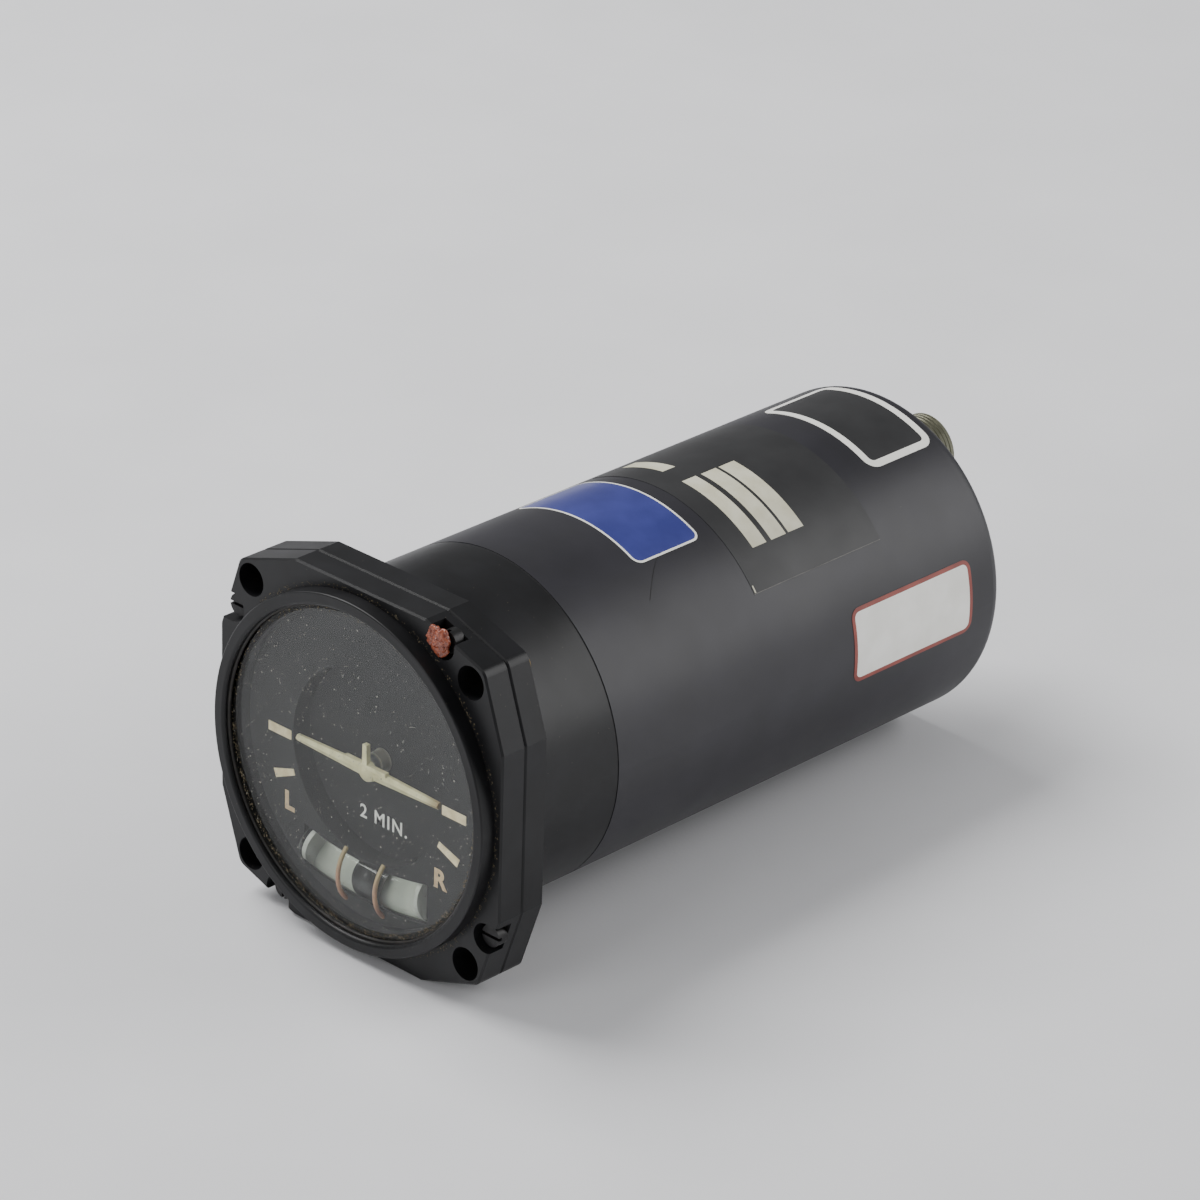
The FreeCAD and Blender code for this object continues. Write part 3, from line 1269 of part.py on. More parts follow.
def connector_square(sketch, hole):
    """Square with cut corners round the connector's axis, with its large hole and screw holes."""
    half, cut = mm.connector_flange, mm.connector_flange - 2
    corners = [(cut, half), (half, cut), (half, -cut), (cut, -half),
               (-cut, -half), (-half, -cut), (-half, cut), (-cut, half)]
    outline(sketch, [(x, connector_up + z) for x, z in corners])
    circle(sketch, 0, connector_up, hole)
    for x, z in corner_places:
        circle(sketch, x, z, mm.small_screw + mm.fit_gap)


flange_square = sketch_in(shell, "XZ_Plane", "ConnectorFlange", (0, connector_seat, 0))
connector_square(flange_square, mm.connector_bore + 0.4)
extrude(shell, "Pad", flange_square, mm.connector_plate, reverse=True)
gasket = new_body("connector_gasket")
gasket_square = sketch_in(gasket, "XZ_Plane", "GasketOutline", (0, can_back, 0))
connector_square(gasket_square, mm.connector_radius + mm.fit_gap)
extrude(gasket, "Pad", gasket_square, mm.gasket_thick, reverse=True)
cap_screws("connector_screws", corner_places, flange_rear, flange_rear + mm.small_head_height,
           mm.connector_plate + mm.gasket_thick + mm.can_end)

insert_face = shell_end - mm.insert_depth
key = sketch_in(shell, "XZ_Plane", "PolarisingKey", (0, insert_face, 0))
key_foot = connector_up + mm.connector_bore + 0.3
outline(key, [
    (-mm.key_width / 2, key_foot - mm.key_height - 0.3),
    (mm.key_width / 2, key_foot - mm.key_height - 0.3),
    (mm.key_width / 2, key_foot),
    (-mm.key_width / 2, key_foot),
])
extrude(shell, "Pad", key, mm.insert_depth - 1, reverse=True)
insert = turned("connector_insert", [
    (0, shell_start),
    (mm.connector_bore - 0.02, shell_start),
    (mm.connector_bore - 0.02, insert_face),
    (0, insert_face),
], 0, connector_up)
contact_places = [(mm.contact_circle * math.cos(math.radians(a)),
                   connector_up + mm.contact_circle * math.sin(math.radians(a)))
                  for a in (90, 210, 330)]
contact_holes = sketch_in(insert, "XZ_Plane", "ContactHoles", (0, shell_start, 0))
for x, z in contact_places:
    circle(contact_holes, x, z, mm.contact_radius)
extrude(insert, "Pocket", contact_holes, insert_face - shell_start)


def rods(label, places, radius, front, back):
    """Plain round rods along the case."""
    body = new_body(label)
    section = sketch_in(body, "XZ_Plane", "Section_" + label, (0, front, 0))
    for x, z in places:
        circle(section, x, z, radius)
    extrude(body, "Pad", section, back - front, reverse=True)
    return body


contact_front = shell_start - 3
rods("connector_contacts", contact_places, mm.contact_radius, contact_front,
     insert_face + mm.contact_reach)

# Standoffs behind the rear plate hold the circuit board and the can.
inside_end = can_back - mm.can_end
standoff_places = [(standoff_across * side, -mm.standoff_down) for side in (-1, 1)]
standoffs = new_body("can_standoffs")
for number, (x, z) in enumerate(standoff_places):
    standoff = sketch_in(standoffs, "XY_Plane", "Standoff%d" % number, (x, 0, z))
    outline(standoff, drilled(mm.standoff_radius, rear_plate_back, inside_end))
    spin(standoffs, "Revolution", standoff)
cap_screws("can_screws", standoff_places, can_back, can_back + mm.small_head_height,
           mm.can_end + mm.small_grip)
board_front = rear_plate_back + mm.board_place
board_back = board_front + mm.board_thick
board = new_body("circuit_board")
board_shape = sketch_in(board, "XZ_Plane", "BoardOutline", (0, board_front, 0))
board_half = standoff_across + mm.board_edge
board_low = -(mm.standoff_down + mm.board_edge + 1)
board_high = connector_up + mm.board_edge
outline(board_shape, [
    (board_half, board_low),
    (board_half, board_high - mm.board_cut),
    (board_half - mm.board_cut, board_high),
    (-board_half + mm.board_cut, board_high),
    (-board_half, board_high - mm.board_cut),
    (-board_half, board_low),
])
for x, z in standoff_places:
    circle(board_shape, x, z, mm.standoff_radius)
extrude(board, "Pad", board_shape, mm.board_thick, reverse=True)
rods("connector_leads", contact_places, mm.contact_radius * 0.7, board_back, contact_front)
turned("filter_capacitor", [
    (0, board_back),
    (mm.capacitor_radius, board_back),
    (mm.capacitor_radius, board_back + mm.capacitor_length - 0.8),
    (mm.capacitor_radius - 0.8, board_back + mm.capacitor_length),
    (0, board_back + mm.capacitor_length),
], 0, -(mm.standoff_down - 3))

# Every object must have rebuilt, and every sub-part must be a sound solid, before any is written.
doc.recompute()
for thing in doc.Objects:
    if "Invalid" in thing.State or "Error" in thing.State:
        raise RuntimeError("not rebuilt: " + thing.Name)
for subpart in subparts:
    if subpart.Shape.isNull() or not subpart.Shape.isValid():
        raise RuntimeError("not sound: " + subpart.Label)
for subpart in subparts:
    subpart.Shape.exportStep("parts/%s.step" % subpart.Label)
    print("%-24s %d solids %10.1f mm3" % (subpart.Label, len(subpart.Shape.Solids), subpart.Shape.Volume))
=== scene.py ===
# %% [markdown]
# # An aircraft turn coordinator
#
# This lesson dresses a 3 1/8 inch panel instrument. Its solids come from the CAD model: a square
# black front with a round rim, a dial under glass, a long round can and a connector at the back.
# Here they get their finishes, and the thin things that CAD leaves out, such as labels, lettering,
# sealing lacquer and dust. Blender works in metres, so MM turns millimetres into them.

# %% Load the frame
import math
import random

import bmesh
import bpy
from mathutils import Matrix, Vector, noise


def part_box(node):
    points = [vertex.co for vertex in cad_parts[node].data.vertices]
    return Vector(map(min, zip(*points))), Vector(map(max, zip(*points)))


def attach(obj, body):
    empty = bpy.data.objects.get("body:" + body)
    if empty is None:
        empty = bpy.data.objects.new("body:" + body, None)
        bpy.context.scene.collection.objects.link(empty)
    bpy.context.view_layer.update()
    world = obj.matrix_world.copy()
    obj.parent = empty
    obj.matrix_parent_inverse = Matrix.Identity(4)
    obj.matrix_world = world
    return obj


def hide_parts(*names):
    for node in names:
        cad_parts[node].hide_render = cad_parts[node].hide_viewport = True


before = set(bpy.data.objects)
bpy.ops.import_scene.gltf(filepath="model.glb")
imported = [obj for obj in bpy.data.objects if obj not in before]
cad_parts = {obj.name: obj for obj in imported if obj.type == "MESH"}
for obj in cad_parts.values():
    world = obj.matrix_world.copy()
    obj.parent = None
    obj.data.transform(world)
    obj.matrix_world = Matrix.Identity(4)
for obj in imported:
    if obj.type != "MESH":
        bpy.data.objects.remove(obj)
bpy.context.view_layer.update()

MM = 0.001

# %% [markdown]
# ## Camera
#
# The picture was taken from the front right and a little above, with a long lens. The numbers were
# found by matching known points of the instrument, such as its mounting holes, with the picture.
# A camera looks along its own -Z, so its axes in the object's frame are right, up and backward.

# %% Camera
LENS_RIGHT = Vector((0.719508, 0.693907, 0.028304))
LENS_UP = Vector((-0.321499, 0.296682, 0.899232))
LENS_BACK = Vector((0.615586, -0.656104, 0.436557))
camera_data = bpy.data.cameras.new("camera")
camera_data.sensor_width = 36
camera_data.lens = 162.25
camera_data.shift_x = -0.0008
camera_data.shift_y = -0.0044
camera_data.clip_start = 0.05
camera_data.clip_end = 50
camera = bpy.data.objects.new("camera", camera_data)
turn = Matrix((LENS_RIGHT, LENS_UP, LENS_BACK)).transposed().to_4x4()
camera.matrix_world = Matrix.Translation(Vector((692.29, -668.12, 507.27)) * MM) @ turn
bpy.context.scene.collection.objects.link(camera)
bpy.context.scene.camera = camera
print("camera lens:", camera_data.lens, "mm")

# %% [markdown]
# ## Adding a node
#
# Every finish below is a small tree of shader nodes. One function adds a node, sets its options
# and fills its inputs, each with a value or with another node's output. A second one turns the
# familiar sRGB hex colours into the linear ones that Blender calculates with.

# %% Node helper and colours


def linear(hex_colour):
    """An sRGB hex colour as the linear colour that a shader takes."""
    parts = [int(hex_colour[i:i + 2], 16) / 255 for i in (1, 3, 5)]
    return [p / 12.92 if p <= 0.04045 else ((p + 0.055) / 1.055) ** 2.4 for p in parts] + [1]


def add(tree, kind, inputs=(), **settings):
    """Add one shader node; inputs holds values or other nodes' outputs by socket name or number."""
    made = tree.nodes.new("ShaderNode" + kind)
    for name, value in settings.items():
        setattr(made, name, value)
    for socket, value in dict(inputs).items():
        if isinstance(value, bpy.types.NodeSocket):
            tree.links.new(value, made.inputs[socket])
        else:
            made.inputs[socket].default_value = value
    return made


print("mid grey in linear light:", round(linear("#808080")[0], 3))

# %% [markdown]
# ## A coated surface
#
# Most pieces are enamelled, moulded, plated or printed. Such a surface is never one colour: it
# drifts a little between two tones, its gloss changes where it was handled, and its skin has a
# fine texture. The function below makes that, with real sizes in millimetres for each pattern.

# %% Coated finish


def coated(name, tone, deep, patch, roughness, swing, grit, depth, metallic=0.0, **sockets):
    """A finish drifting between two tones over patch mm, its skin grit mm wide, depth mm deep."""
    finish = bpy.data.materials.new(name)
    finish.use_nodes = True
    tree = finish.node_tree
    tree.nodes.clear()
    place = add(tree, "TexCoord").outputs["Object"]
    drift = add(tree, "TexNoise", {"Vector": place, "Scale": 1 / (patch * MM), "Detail": 3})
    gentle = add(tree, "MapRange", {"Value": drift.outputs[0], "From Min": 0.35, "From Max": 0.65})
    colour = add(tree, "Mix", {0: gentle.outputs[0], 6: linear(deep), 7: linear(tone)},
                 data_type="RGBA")
    handled = add(tree, "TexNoise", {"Vector": place, "Scale": 0.4 / (patch * MM), "Detail": 4})
    gloss = add(tree, "MapRange", {
        "Value": handled.outputs[0], "From Min": 0.3, "From Max": 0.7,
        "To Min": roughness - swing, "To Max": roughness + swing})
    skin = add(tree, "TexNoise", {"Vector": place, "Scale": 1 / (grit * MM), "Detail": 2})
    bump = add(tree, "Bump", {"Height": skin.outputs[0], "Distance": depth * MM, "Strength": 1.0})
    shader = add(tree, "BsdfPrincipled", {
        "Base Color": colour.outputs[2], "Roughness": gloss.outputs[0], "Metallic": metallic,
        "Normal": bump.outputs[0]})
    for socket, value in sockets.items():
        shader.inputs[socket.replace("_", " ")].default_value = value
    add(tree, "OutputMaterial", {"Surface": shader.outputs[0]})
    return finish


def parts_of(finish):
    """The node tree of a finish, its shader, and the place that its patterns read."""
    tree = finish.node_tree
    shader = next(n for n in tree.nodes if n.type == "BSDF_PRINCIPLED")
    coords = next(n for n in tree.nodes if n.type == "TEX_COORD")
    return tree, shader, coords.outputs["Object"]


# %% [markdown]
# ## Black enamel with dust in it
#
# The front frame and the housing are cast aluminium under baked black enamel, slightly glossy.
# Decades of dust have settled on them as pale specks and as a thin brown film in the corners.
# Voronoi cells give each speck its own place; only cells with a rare random value show one.

# %% Case enamel


def dusted(finish, cell, share, size, dust):
    """Scatter specks of dust over a finish, one in some of the cells of a Voronoi pattern."""
    tree, shader, place = parts_of(finish)
    cells = add(tree, "TexVoronoi", {"Vector": place, "Scale": 1 / (cell * MM)})
    near = add(tree, "Math", {0: cells.outputs["Distance"], 1: size}, operation="LESS_THAN")
    pick = add(tree, "SeparateColor", {0: cells.outputs["Color"]})
    rare = add(tree, "Math", {0: pick.outputs[0], 1: share}, operation="LESS_THAN")
    speck = add(tree, "Math", {0: near.outputs[0], 1: rare.outputs[0]}, operation="MULTIPLY")
    under = shader.inputs["Base Color"].links[0].from_socket
    colour = add(tree, "Mix", {0: speck.outputs[0], 6: under, 7: linear(dust)}, data_type="RGBA")
    tree.links.new(colour.outputs[2], shader.inputs["Base Color"])
    return finish


case_enamel = coated("baked_black_enamel", "#1b1b1d", "#141415", 9, 0.4, 0.06, 0.35, 0.006,
                     Specular_IOR_Level=0.32)
dusted(case_enamel, 0.8, 0.07, 0.09, "#5f5a4e")
can_enamel = coated("satin_black_enamel", "#25242a", "#1f1e23", 14, 0.46, 0.05, 0.25, 0.004,
                    Specular_IOR_Level=0.52)
dusted(can_enamel, 2.2, 0.05, 0.04, "#66635d")
print("enamels:", case_enamel.name, can_enamel.name)

# %% [markdown]
# ## Printing, paint and plastics
#
# The dial is flat black, so that it doesn't reflect. Its marks and the miniature aeroplane carry
# an aged luminous paint that has turned cream. The inclinometer has a white enamelled backing,
# brown painted wires and a black ball. Rubber, lacquer and insulators follow. Three finishes change
# along one axis: a wing tip is stained, the backing's front lip is darkened as painted shade, and
# the wires are yellower at their tops. A map range turns the place along the axis into the share
# of the second tone.

# %% Painted and moulded finishes
dial_black = coated("flat_black_dial_paint", "#292929", "#252525", 9, 0.8, 0.05, 0.6, 0,
                    Specular_IOR_Level=0.25)
cream_paint = coated("aged_cream_marking", "#f3e5bd", "#dfcd9f", 1.6, 0.62, 0.08, 0.3, 0.02)
pointer_cream = coated("aged_luminous_paint", "#e4dfb2", "#d0ca99", 2.5, 0.5, 0.08, 0.4, 0.03)
white_enamel = coated("white_backing_enamel", "#d9dcd2", "#c6cac0", 5, 0.4, 0.08, 0.5, 0.01)
plug_white = coated("white_plug_plastic", "#ccd0c6", "#bcc0b6", 3, 0.35, 0.08, 0.4, 0.01)
ball_black = coated("black_glass_ball", "#171616", "#0f0e0e", 2, 0.2, 0.04, 0.6, 0.001)
wire_brown = coated("brown_painted_wire", "#bf9472", "#9a6b55", 2.5, 0.45, 0.1, 0.3, 0.02)
lacquer = coated("copper_red_sealing_lacquer", "#ab5c40", "#6f2e1f", 0.6, 0.3, 0.1, 0.5, 0.16,
                 Coat_Weight=0.6, Coat_Roughness=0.15)
rubber = coated("black_rubber", "#1b1b1b", "#141414", 3, 0.7, 0.08, 0.2, 0.01)
insert_black = coated("black_moulded_insert", "#1e1d1c", "#161615", 2, 0.48, 0.08, 0.25, 0.008)
phenolic = coated("brown_phenolic", "#4a2a18", "#351c0f", 3, 0.4, 0.08, 0.3, 0.01)
board_green = coated("green_circuit_board", "#1d5a33", "#164728", 5, 0.4, 0.08, 0.5, 0.01)
capacitor_blue = coated("blue_capacitor_sleeve", "#28437c", "#1e3564", 5, 0.36, 0.08, 0.5, 0.01)
sleeve_grey = coated("light_grey_sleeve", "#8f8d80", "#7b796e", 3, 0.35, 0.08, 0.3, 0.004)
lead_red = coated("red_lead_insulation", "#9c2a22", "#801f1a", 2, 0.42, 0.08, 0.4, 0.01)


def faded(finish, axis, start, end, tone):
    """Let a finish go over into another tone between two places in mm along an axis."""
    tree, shader, place = parts_of(finish)
    along = add(tree, "SeparateXYZ", {0: place})
    share = add(tree, "MapRange", {"Value": along.outputs[axis], "From Min": start * MM,
                                   "From Max": end * MM})
    under = shader.inputs["Base Color"].links[0].from_socket
    colour = add(tree, "Mix", {0: share.outputs[0], 6: under, 7: linear(tone)}, data_type="RGBA")
    tree.links.new(colour.outputs[2], shader.inputs["Base Color"])


faded(pointer_cream, "X", 16.5, 20.5, "#9a8353")
# Painted shade: the white backing's front lip goes near black, so that it shows no lit edge.
faded(white_enamel, "Y", 4.9, 4.5, "#262625")
faded(wire_brown, "Z", -26.0, -22.0, "#a59467")
print("painted and moulded finishes are ready")

# %% [markdown]
# ## Metals
#
# Machined and plated metals share one recipe too: metallic is 1, the colour is the metal's own,
# and tool marks or plating grain make the gloss uneven. The connector shell is cadmium plate with
# an olive chromate, which looks half like metal and half like paint. Its thread is a wave bump: the
# wave node fits one wave into 0.314 divided by its scale, so the scale follows from the pitch.

# %% Metal finishes
brass = coated("aged_brass", "#8f7748", "#6c5834", 3, 0.38, 0.08, 0.15, 0.004, 1.0)
screw_black = coated("black_oxide_steel", "#302f30", "#232323", 1.5, 0.4, 0.1, 0.2, 0.01, 0.6)
aluminium = coated("machined_aluminium", "#b9bbbe", "#a2a5a9", 6, 0.34, 0.08, 0.2, 0.004, 1.0)
steel = coated("ground_steel", "#a7a8aa", "#8d8f92", 4, 0.28, 0.08, 0.15, 0.003, 1.0)
spring_wire = coated("dusty_black_spring_wire", "#2b2724", "#191817", 1.2, 0.55, 0.1, 0.3, 0.01,
                     0.2)
bronze = coated("sintered_bronze", "#9a6c43", "#7d5432", 1.5, 0.42, 0.08, 0.2, 0.01, 1.0)
rotor_metal = coated("tungsten_alloy_rotor", "#8d8a86", "#77746f", 5, 0.3, 0.08, 0.2, 0.004, 1.0)
magnet = coated("cast_magnet_alloy", "#6f6d6b", "#5a5856", 3, 0.45, 0.1, 0.3, 0.02, 1.0)
copper = coated("commutator_copper", "#b87350", "#97583a", 2, 0.32, 0.1, 0.2, 0.005, 1.0)
gold = coated("gold_plated_contact", "#d9b45c", "#c29a45", 2, 0.25, 0.06, 0.2, 0.003, 1.0)
shell_olive = coated("olive_chromate_plate", "#7c7b68", "#5f5e4d", 3, 0.42, 0.1, 0.3, 0.012, 0.5)
tree, shader, place = parts_of(shell_olive)
THREAD_PITCH = 1.06
thread = add(tree, "TexWave", {"Vector": place, "Scale": 0.314 / (THREAD_PITCH * MM)},
             bands_direction="Y")
grain = next(n for n in tree.nodes if n.type == "BUMP")
turned = add(tree, "Bump", {"Height": thread.outputs["Fac"], "Distance": 0.35 * MM,
                            "Normal": grain.outputs[0]})
tree.links.new(turned.outputs[0], shader.inputs["Normal"])
print("metal finishes are ready")

# %% [markdown]
# ## Clear glass that lets lamplight through
#
# Glass mirrors a little of the room and shows the dial. A ray tracer finds it hard to light what
# lies behind true glass, so shadow rays get a transparent shader instead: the lamps then reach
# the dial at once, as they do in reality, and the picture has no grain.

# %% Glass finishes


def glazed(name, tint, roughness, index):
    """Clear glass, barely hazy in places, which lets the lamps' shadow rays pass."""
    finish = coated(name, tint, tint, 8, roughness, 0.01, 4, 0, IOR=index, Transmission_Weight=1.0)
    tree, shader, _ = parts_of(finish)
    out = next(n for n in tree.nodes if n.type == "OUTPUT_MATERIAL")
    rays = add(tree, "LightPath")
    clear = add(tree, "BsdfTransparent")
    mix = add(tree, "MixShader", {0: rays.outputs["Is Shadow Ray"], 1: shader.outputs[0],
                                  2: clear.outputs[0]})
    tree.links.new(mix.outputs[0], out.inputs["Surface"])
    return finish


window_glass = glazed("flat_window_glass", "#fbfdfc", 0.0, 1.32)
tube_glass = glazed("bent_tube_glass", "#fbfdfa", 0.0, 1.42)
tube_inside = glazed("liquid_against_glass", "#fbfdfa", 0.0, 1.0)
print("glass finishes are ready")

# %% [markdown]
# ## Dress the CAD nodes
#
# Each solid keeps its shape and place. Only the material in its slot changes, so the record's
# slot names point the way: a table pairs each slot of the record with one finish.

# %% Assign the finishes
FINISH_OF_SLOT = {
    "case_black": case_enamel, "can_black": can_enamel, "screw_black": screw_black,
    "brass": brass, "lacquer": lacquer, "window_glass": window_glass, "tube_glass": tube_glass,
    "rubber": rubber, "dial_black": dial_black, "cream_paint": cream_paint,
    "pointer_cream": pointer_cream, "white_enamel": white_enamel, "plug_white": plug_white,
    "ball_black": ball_black, "wire_brown": wire_brown, "spring_wire": spring_wire,
    "aluminium": aluminium, "steel": steel, "bronze": bronze, "rotor_metal": rotor_metal,
    "magnet": magnet, "copper": copper, "phenolic": phenolic, "shell_olive": shell_olive,
    "insert_black": insert_black, "gold": gold, "board_green": board_green,
    "capacitor_blue": capacitor_blue, "lead_red": lead_red, "sleeve_grey": sleeve_grey,
}


def slot_of(solid):
    """The record's slot name of a CAD node, from the name of the material it came with."""
    name = solid.data.materials[0].name
    return next(slot for slot in sorted(FINISH_OF_SLOT, key=len, reverse=True) if slot in name)


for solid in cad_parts.values():
    solid.data.materials[0] = FINISH_OF_SLOT[slot_of(solid)]
print("dressed:", len(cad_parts), "nodes")

# %% [markdown]
# ## Floor
#
# The instrument rests on the rear of its round can and on the lower edge of its square front, so
# the floor is a plane that touches both and leans 1.6 degrees in the object's frame. The real one
# is pale, finely rough board that shows hardly any texture.

# %% Floor
floor_finish = coated("pale_board", "#ebebed", "#e6e6e8", 60, 0.8, 0.04, 0.8, 0.02)
FLOOR_SLOPE = 0.0275
FLOOR_POINT = Vector((0, 12.48, -40.64)) * MM
shape = bmesh.new()
bmesh.ops.create_grid(shape, x_segments=8, y_segments=8, size=4.0)
lean = math.atan(FLOOR_SLOPE)
bmesh.ops.rotate(shape, verts=shape.verts, matrix=Matrix.Rotation(lean, 3, "X"))
bmesh.ops.translate(shape, verts=shape.verts, vec=FLOOR_POINT)
floor_mesh = bpy.data.meshes.new("floor")
shape.to_mesh(floor_mesh)
shape.free()
floor = bpy.data.objects.new("floor", floor_mesh)
floor_mesh.materials.append(floor_finish)
bpy.context.scene.collection.objects.link(floor)
print("floor leans", round(math.degrees(lean), 2), "degrees")

# %% [markdown]
# ## Light
#
# A studio lights such a dark, satin object with large soft panels, because a black enamel shows
# little but the reflection of its surroundings. The key panel at the upper left lights the board
# and the tops. The right panel, low behind the can, is what the can mirrors as its broad sheen. A
# weaker panel in front brings out the dial, and a grey room lifts the shadows.

# %% Lights


def softbox(name, place, aim, size, power):
    """A square area lamp at a place in metres, turned towards a point."""
    data = bpy.data.lights.new(name, "AREA")
    data.shape = "SQUARE"
    data.size = size
    data.energy = power
    lamp = bpy.data.objects.new(name, data)
    lamp.matrix_world = Matrix.Translation(place) @ (Vector(place) - Vector(aim)).to_track_quat(
        "Z", "Y").to_matrix().to_4x4()
    bpy.context.scene.collection.objects.link(lamp)
    return lamp


middle = Vector((0, 0.07, 0))
softbox("key_panel", (-0.9, -0.1, 1.2), middle, 0.9, 26)
softbox("right_panel", (0.85, 0.95, 0.6), middle, 1.1, 12.5)
softbox("front_panel", (-0.1, -1.5, 0.8), middle, 0.8, 7)
room = bpy.data.worlds.new("room")
room.use_nodes = True
room.node_tree.nodes["Background"].inputs[0].default_value = linear("#d8d9dc")
room.node_tree.nodes["Background"].inputs[1].default_value = 0.33
bpy.context.scene.world = room
print("lamps: 3")

# %% [markdown]
# ## Putting a finished mesh into the scene
#
# The pieces below are made with bmesh. Each one ends up as an object at the origin, rides on a
# body of the CAD model, and takes the finishes that it is given.

# %% Piece helper


def piece(name, shape, finishes, body, smooth=True):
    """Turn a bmesh into an object that rides on a body."""
    bmesh.ops.recalc_face_normals(shape, faces=shape.faces)
    mesh = bpy.data.meshes.new(name)
    shape.to_mesh(mesh)
    shape.free()
    for finish in finishes:
        mesh.materials.append(finish)
    mesh.polygons.foreach_set("use_smooth", [smooth] * len(mesh.polygons))
    mesh.set_sharp_from_angle(angle=math.radians(35))
    made = bpy.data.objects.new(name, mesh)
    bpy.context.scene.collection.objects.link(made)
    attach(made, body)
    print(name, len(mesh.polygons), "faces")
    return made


# %% [markdown]
# ## Lettering on the dial
#
# The dial carries an L and an R beside the turn marks and the time of a full turn under the
# centre. A text object gives the outlines. It is made a mesh before it is placed, scaled to the
# height of the printed letters, and turned so that its front faces along -Y.

# %% Dial lettering


def printed(name, words, middle_x, middle_z, height, face, finish, weight, spacing=1.0):
    """Words printed on a face of the dial, centred on a point, with a height in mm."""
    text = bpy.data.curves.new(name, "FONT")
    text.body = words
    text.offset = weight
    text.space_character = spacing
    text.extrude = 0.02
    holder = bpy.data.objects.new(name + "_text", text)
    bpy.context.scene.collection.objects.link(holder)
    bpy.context.view_layer.update()
    mesh = bpy.data.meshes.new_from_object(holder)
    bpy.data.objects.remove(holder)
    shape = bmesh.new()
    shape.from_mesh(mesh)
    xs = [v.co.x for v in shape.verts]
    ys = [v.co.y for v in shape.verts]
    scale = height / (max(ys) - min(ys))
    for vert in shape.verts:
        across = (vert.co.x - (max(xs) + min(xs)) / 2) * scale + middle_x
        up = (vert.co.y - (max(ys) + min(ys)) / 2) * scale + middle_z
        vert.co = Vector((across, face - 0.03 - vert.co.z, up)) * MM
    return piece(name, shape, [finish], "case", smooth=False)


DIAL_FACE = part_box("dial_plate")[0].y / MM
WELL_DEPTH = 4.7
WELL_FACE = DIAL_FACE + WELL_DEPTH
letter_tan = coated("faded_tan_print", "#d9c197", "#c2a780", 1.5, 0.62, 0.06, 0.3, 0.01)
printed("letter_left", "L", -22.3, -16.4, 4.4, DIAL_FACE, letter_tan, 0.05)
printed("letter_right", "R", 21.8, -17.1, 4.4, DIAL_FACE, letter_tan, 0.04)
white_print = coated("white_dial_print", "#f2f2ec", "#e4e4dd", 2, 0.6, 0.06, 0.3, 0.01)
printed("turn_time", "2 MIN.", 0.4, -13.8, 3.1, WELL_FACE, white_print, 0.015, 1.18)

# %% [markdown]
# ## Labels on the can
#
# Four thin labels are stuck round the can. They stay blank, with only their borders and fields,
# because the part names no maker. A label starts as a flat rectangle.
# Its corners are bevelled round, rings are inset for the borders, cuts let it bend, and then each
# point is wrapped round the can. A narrow grey strip runs along the lower edge of the largest one.

# %% Labels
CAN_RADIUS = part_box("rear_can")[1].x / MM


def label(name, start, end, front, back, corner, rings, finishes, lift=0.06):
    """A label from angle start to end (degrees from +X towards +Z) and front to back in mm."""
    wide = math.radians(end - start) * CAN_RADIUS
    shape = bmesh.new()
    bmesh.ops.create_grid(shape, x_segments=1, y_segments=1, size=0.5)
    bmesh.ops.scale(shape, verts=shape.verts, vec=(wide, back - front, 1))
    if corner:
        bmesh.ops.bevel(shape, geom=shape.verts[:], offset=corner, segments=6, profile=0.5,
                        affect="VERTICES", material=-1)
    for number, width in enumerate(rings):
        middle_face = max(shape.faces, key=lambda f: f.calc_area())
        bmesh.ops.inset_region(shape, faces=[middle_face], thickness=width, use_even_offset=True,
                               use_boundary=True)
        max(shape.faces, key=lambda f: f.calc_area()).material_index = number + 1
    step = math.radians(2) * CAN_RADIUS
    for cut in range(1, int(wide / step) + 1):
        bmesh.ops.bisect_plane(shape, geom=shape.verts[:] + shape.edges[:] + shape.faces[:],
                               plane_co=(-wide / 2 + cut * step, 0, 0), plane_no=(1, 0, 0))
    bmesh.ops.solidify(shape, geom=shape.faces[:], thickness=lift)
    low = min(v.co.z for v in shape.verts)
    for vert in shape.verts:
        angle = math.radians(start) + (vert.co.x + wide / 2) / CAN_RADIUS
        radius = CAN_RADIUS + 0.01 + vert.co.z - low
        vert.co = Vector((radius * math.cos(angle), (front + back) / 2 + vert.co.y,
                          radius * math.sin(angle))) * MM
    return piece(name, shape, finishes, "case")


label_blue = coated("blue_printed_foil", "#3a4087", "#31377a", 8, 0.34, 0.06, 0.3, 0.003)
label_white = coated("white_printed_foil", "#faf9f3", "#efeee6", 8, 0.36, 0.06, 0.3, 0.003)
label_black = coated("matt_black_foil", "#2a2a2b", "#232324", 8, 0.5, 0.05, 0.3, 0.003)
label_cream = coated("written_cream_field", "#d8d5c0", "#cbc7ae", 5, 0.5, 0.06, 0.3, 0.003)
label_red = coated("red_brown_print", "#96453a", "#83382f", 5, 0.4, 0.06, 0.3, 0.003)
label("blue_label", 61, 118, 61.2, 80.4, 2.2, [0.5], [label_white, label_blue])
label("name_plate", 37, 118, 84.5, 123.7, 0, [], [label_black])
label("rear_label", 59.5, 112, 132.5, 153.0, 3.0, [1.8], [label_white, label_black])
label("side_label", -7, 19.2, 109, 147, 2.4, [0.95], [label_red, label_white])
for name, start, end, front, back in (
        ("field_model", 50.9, 85.8, 90.4, 94.6), ("field_serial", 50.9, 85.6, 96.1, 100.6),
        ("field_supply", 51.0, 85.5, 101.4, 106.1), ("field_part", 95.4, 114, 91.1, 94.9),
        ("plate_corner", 37.1, 39.6, 84.8, 85.15)):
    label(name, start, end, front, back, 0, [], [label_cream], 0.09)
